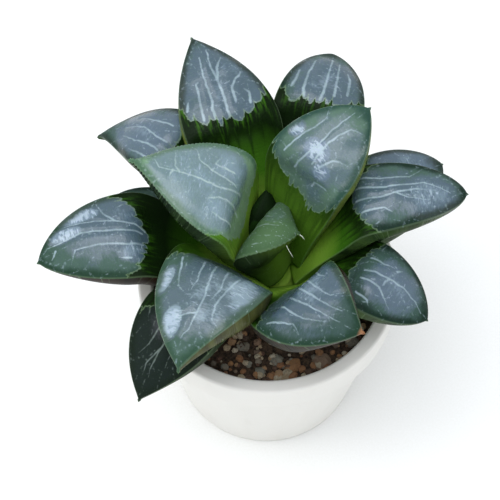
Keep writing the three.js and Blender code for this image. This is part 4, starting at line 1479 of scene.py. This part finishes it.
@dataclass
class Soil:
    """A gritty mix: a bed of peat with crushed stone strewn over it."""

    top: float = 39.0
    rise: float = 1.2  # how much the soil rises towards the stock
    large_grains: int = 40
    small: float = 1.1
    large: float = 2.4
    clear: float = 10.0  # the large grains keep this far from the pot's axis
    fine_grains: int = 900
    fine_size: Point = (0.35, 1.15)
    sides: int = 96
    rings: int = 60
    lumps: Point = (0.35, 5.0)  # height and spacing of the lumps in the bed
    crumbs: Point = (0.2, 1.6)  # height and spacing of the crumbs on it
    sunk: float = 0.25  # how far the middle of the crumbs lies below the surface

    def build(self) -> None:
        """Makes the bed and the grains on it."""
        self.build_bed()
        self.build_grains()

    def surface(self, radius: float) -> float:
        """The height of the soil at a distance from the pot's axis."""
        return self.top + self.rise * (1 - radius / (inner_radius(self.top) - GAP))

    def build_bed(self) -> None:
        """Makes the bed: the filled inside of the pot, with a crumbly top."""
        lowest = POT_FLOOR + GAP
        edge = inner_radius(self.top) - GAP
        shoulder = POT_HEIGHT - RIM_BAND
        wall = [(0.0, lowest), (inner_radius(lowest) - GAP, lowest), (inner_radius(shoulder) - GAP, shoulder)]
        top = [(radius, self.surface(radius)) for radius in np.linspace(edge, 0, self.rings + 1)]
        points, faces = turned(wall + top, self.sides)
        x, y, z = points.T
        on_top = (z > shoulder + 0.5) & (np.hypot(x, y) < edge - 0.3)
        lumps = self.lumps[0] * Waves(3, self.lumps[1]).at(x, y)
        crumbs = self.crumbs[0] * Waves(4, self.crumbs[1], 12).at(x, y)
        points[on_top, 2] += (lumps + crumbs)[on_top] - self.sunk
        piece = as_mesh("soil_bed", points, faces)
        piece.data.materials.append(PeatFinish().build())
        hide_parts("soil")
        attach(piece, BODY)
        LOG.info("%s", piece.name)

    def build_grains(self) -> None:
        """Makes the grains: the large ones where the solid has them, and fine ones between them."""
        shape = self.boulder()
        draw = np.random.default_rng(21)
        golden = math.pi * (3 - math.sqrt(5))
        edge = inner_radius(self.top) - GAP
        places = []
        step = seeded(7)
        for i in range(self.large_grains):
            size = self.small + (self.large - self.small) * next(step)
            radius = self.clear + (edge - self.large - self.clear) * math.sqrt((i + 0.5) / self.large_grains)
            angle = i * golden + 0.3 * next(step)
            tip, turn = next(step), next(step)
            places.append((radius, angle, size, math.pi * tip, math.pi * turn, 0.2))
        for _ in range(self.fine_grains):
            size = draw.uniform(*self.fine_size)
            radius = (edge - size) * math.sqrt(draw.uniform(0.04, 1))
            places.append((radius, draw.uniform(0, 2 * math.pi), size, *draw.uniform(0, math.pi, 2), -0.1))
        points, faces, stone = [], [], []
        for radius, angle, size, tip, turn, sunk in places:
            rough = shape[0] * (1 + 0.2 * draw.standard_normal((len(shape[0]), 1)).clip(-1, 0.6))
            stretched = rough * draw.uniform(0.75, 1.0, 3) * size
            ct, st, cr, sr = math.cos(tip), math.sin(tip), math.cos(turn), math.sin(turn)
            tipped = stretched @ np.array([[1, 0, 0], [0, ct, -st], [0, st, ct]]).T
            spun = tipped @ np.array([[cr, -sr, 0], [sr, cr, 0], [0, 0, 1]]).T * (1, 1, 0.8)
            centre = (radius * math.cos(angle), radius * math.sin(angle), self.surface(radius) - sunk * size)
            faces += [tuple(k + len(points) * len(shape[0]) for k in face) for face in shape[1]]
            points.append(spun + centre)
            stone.append(np.full(len(shape[0]), draw.uniform()))
        piece = as_mesh("soil_grit", np.concatenate(points), faces)
        piece.data.polygons.foreach_set("use_smooth", np.zeros(len(piece.data.polygons), bool))
        keep(piece, "stone", np.concatenate(stone))
        piece.data.materials.append(GritFinish().build())
        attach(piece, BODY)
        LOG.info("%s: %d grains", piece.name, len(places))

    @staticmethod
    def boulder() -> tuple[np.ndarray, list[tuple[int, ...]]]:
        """A rounded twenty-sided grain divided once: its points at radius 1, and its faces."""
        ball = bpy.data.meshes.new("grain")
        work = bmesh.new()
        bmesh.ops.create_icosphere(work, subdivisions=2, radius=1)
        work.to_mesh(ball)
        work.free()
        points = np.array([v.co for v in ball.vertices])
        faces = [tuple(p.vertices) for p in ball.polygons]
        bpy.data.meshes.remove(ball)
        return points, faces


def seeded(seed: int) -> Iterator[float]:
    """Draws numbers between 0 and 1, the same ones as the part's source.

    Args:
        seed: start of the row.

    Yields:
        The next draw.
    """
    state = seed
    while True:
        state = (state * 1664525 + 1013904223) % 4294967296
        yield state / 4294967296


@dataclass
class Pot:
    """A small round moulded pot with a deep rim band and four drainage holes."""

    sides: int = 160
    drain_holes: int = 4
    drain_radius: float = 2.5
    drain_circle: float = 14.0
    drain_sides: int = 48
    step: float = 1.5  # largest distance between two rings
    sharp: float = 40.0  # edges that turn more than this stay sharp

    def build(self) -> None:
        """Makes the pot."""
        wall_top = POT_HEIGHT - RIM_BAND
        inner = inner_radius(POT_HEIGHT)
        outline = rounded((
            (0, 0, 0),
            (BASE_RADIUS, 0, 1.0),
            (RIM_RADIUS - RIM_STEP, wall_top, 0.4),
            (RIM_RADIUS, wall_top, 0.6),
            (RIM_RADIUS, POT_HEIGHT, 0.8),
            (inner, POT_HEIGHT, 0.8),
            (inner, wall_top, 1.5),
            (inner_radius(POT_FLOOR), POT_FLOOR, 1.2),
            (0, POT_FLOOR, 0),
        ))
        points, faces = turned(along(outline, self.step), self.sides)
        pot = as_mesh("moulded_pot", points, faces)
        self.drill(pot)
        pot.data.set_sharp_from_angle(angle=math.radians(self.sharp))
        pot.data.materials.append(PotFinish().build())
        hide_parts("pot")
        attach(pot, BODY)
        LOG.info("%s: %d faces", pot.name, len(pot.data.polygons))

    def drill(self, pot: bpy.types.Object) -> None:
        """Cuts the drainage holes through the pot's floor."""
        reach, radius = 2 * POT_FLOOR, self.drain_radius
        rod, faces = turned(((0, -reach), (radius, -reach), (radius, reach), (0, reach)), self.drain_sides)
        for i in range(self.drain_holes):
            angle = 2 * math.pi * (i + 0.5) / self.drain_holes
            points = rod + (self.drain_circle * math.cos(angle), self.drain_circle * math.sin(angle), 0)
            drill = as_mesh("drill", points, faces)
            cut = pot.modifiers.new("drain", "BOOLEAN")
            cut.operation = "DIFFERENCE"
            cut.object = drill
            cut.solver = "EXACT"
            depsgraph = bpy.context.evaluated_depsgraph_get()
            cut_mesh = bpy.data.meshes.new_from_object(pot.evaluated_get(depsgraph))
            pot.modifiers.clear()
            pot.data = cut_mesh
            bpy.data.objects.remove(drill)


# ---- Studio ----


@dataclass(frozen=True)
class Lamp:
    """A rectangular light that faces the crown."""

    name: str
    towards: Place  # direction from the crown
    reach: float  # distance from the crown, in metres
    size: Point  # in metres
    power: float  # in watts
    colour: str

    def build(self) -> None:
        """Makes the light."""
        lamp = bpy.data.lights.new(self.name, "AREA")
        lamp.shape = "RECTANGLE"
        lamp.size, lamp.size_y = self.size
        lamp.energy = self.power
        lamp.color = linear(self.colour)[:3]
        direction = Vector(self.towards).normalized()
        holder = bpy.data.objects.new(self.name, lamp)
        holder.location = Vector((0, 0, CROWN * MM)) + direction * self.reach
        holder.rotation_euler = direction.to_track_quat("Z", "Y").to_euler()
        bpy.context.scene.collection.objects.link(holder)


@dataclass
class Studio:
    """A plain pale floor, soft daylight from above and from the left, and a camera that looks down."""

    floor_reach: float = 1500.0
    floor_depth: float = 2.0
    lamps: Sequence[Lamp] = (
        Lamp("window_light", (-0.15, -0.1, 0.98), 1.1, (1.0, 0.8), 8.0, "#f4f8ff"),
        Lamp("side_light", (-0.75, -0.1, 0.65), 1.2, (0.5, 0.7), 2.2, "#fbf9f4"),
    )
    fill_colour: str = "#f4f7fb"
    fill_strength: float = 0.8
    elevation: float = 60.0
    distance: float = 350.0
    focal_length: float = 110.9
    sensor_width: float = 36.0
    clip_start: float = 0.01  # in metres
    crown_offset: Point = (4.09, -2.73)  # of the crown from the picture's middle: right, up

    def build(self) -> None:
        """Makes the floor, the lights and the camera."""
        self.build_floor()
        for lamp in self.lamps:
            lamp.build()
        self.build_fill()
        self.build_camera()

    def build_floor(self) -> None:
        """Makes the floor as a wide flat sheet with its top at height 0."""
        reach, square = self.floor_reach, ((-1, -1), (1, -1), (1, 1), (-1, 1))
        corners = [(x * reach, y * reach, z) for z in (-self.floor_depth, 0) for x, y in square]
        faces = [(3, 2, 1, 0), (4, 5, 6, 7)] + [(i, (i + 1) % 4, (i + 1) % 4 + 4, i + 4) for i in range(4)]
        floor = as_mesh("floor", np.array(corners), faces)
        floor.data.polygons.foreach_set("use_smooth", np.zeros(len(faces), bool))
        floor.data.materials.append(PaperFinish().build())

    def build_fill(self) -> None:
        """Makes the even light that comes from all round."""
        world = bpy.data.worlds.new("even_fill")
        world.use_nodes = True
        background = world.node_tree.nodes["Background"]
        background.inputs["Color"].default_value = linear(self.fill_colour)
        background.inputs["Strength"].default_value = self.fill_strength
        bpy.context.scene.world = world

    def build_camera(self) -> None:
        """Places the camera so that the crown falls where the photograph has it."""
        rise = math.radians(self.elevation)
        forward = Vector((0, math.cos(rise), -math.sin(rise)))
        up = Vector((0, math.sin(rise), math.cos(rise)))
        right, upward = self.crown_offset
        middle = Vector((0, 0, CROWN)) - Vector((right, 0, 0)) - up * upward
        lens = bpy.data.cameras.new("camera")
        lens.lens = self.focal_length
        lens.sensor_width = self.sensor_width
        lens.clip_start = self.clip_start
        camera = bpy.data.objects.new("camera", lens)
        camera.location = (middle - forward * self.distance) * MM
        camera.rotation_euler = (-forward).to_track_quat("Z", "Y").to_euler()
        bpy.context.scene.collection.objects.link(camera)
        bpy.context.scene.camera = camera


def main() -> None:
    """Builds the plant from the crown down, then the studio round it."""
    logging.basicConfig(level=logging.INFO, format="%(name)s: %(message)s")
    Studio().build()
    Rosette().build()
    Stock().build()
    Soil().build()
    Pot().build()
    bpy.context.scene.view_settings.view_transform = "Standard"


if __name__ == "__main__":
    main()
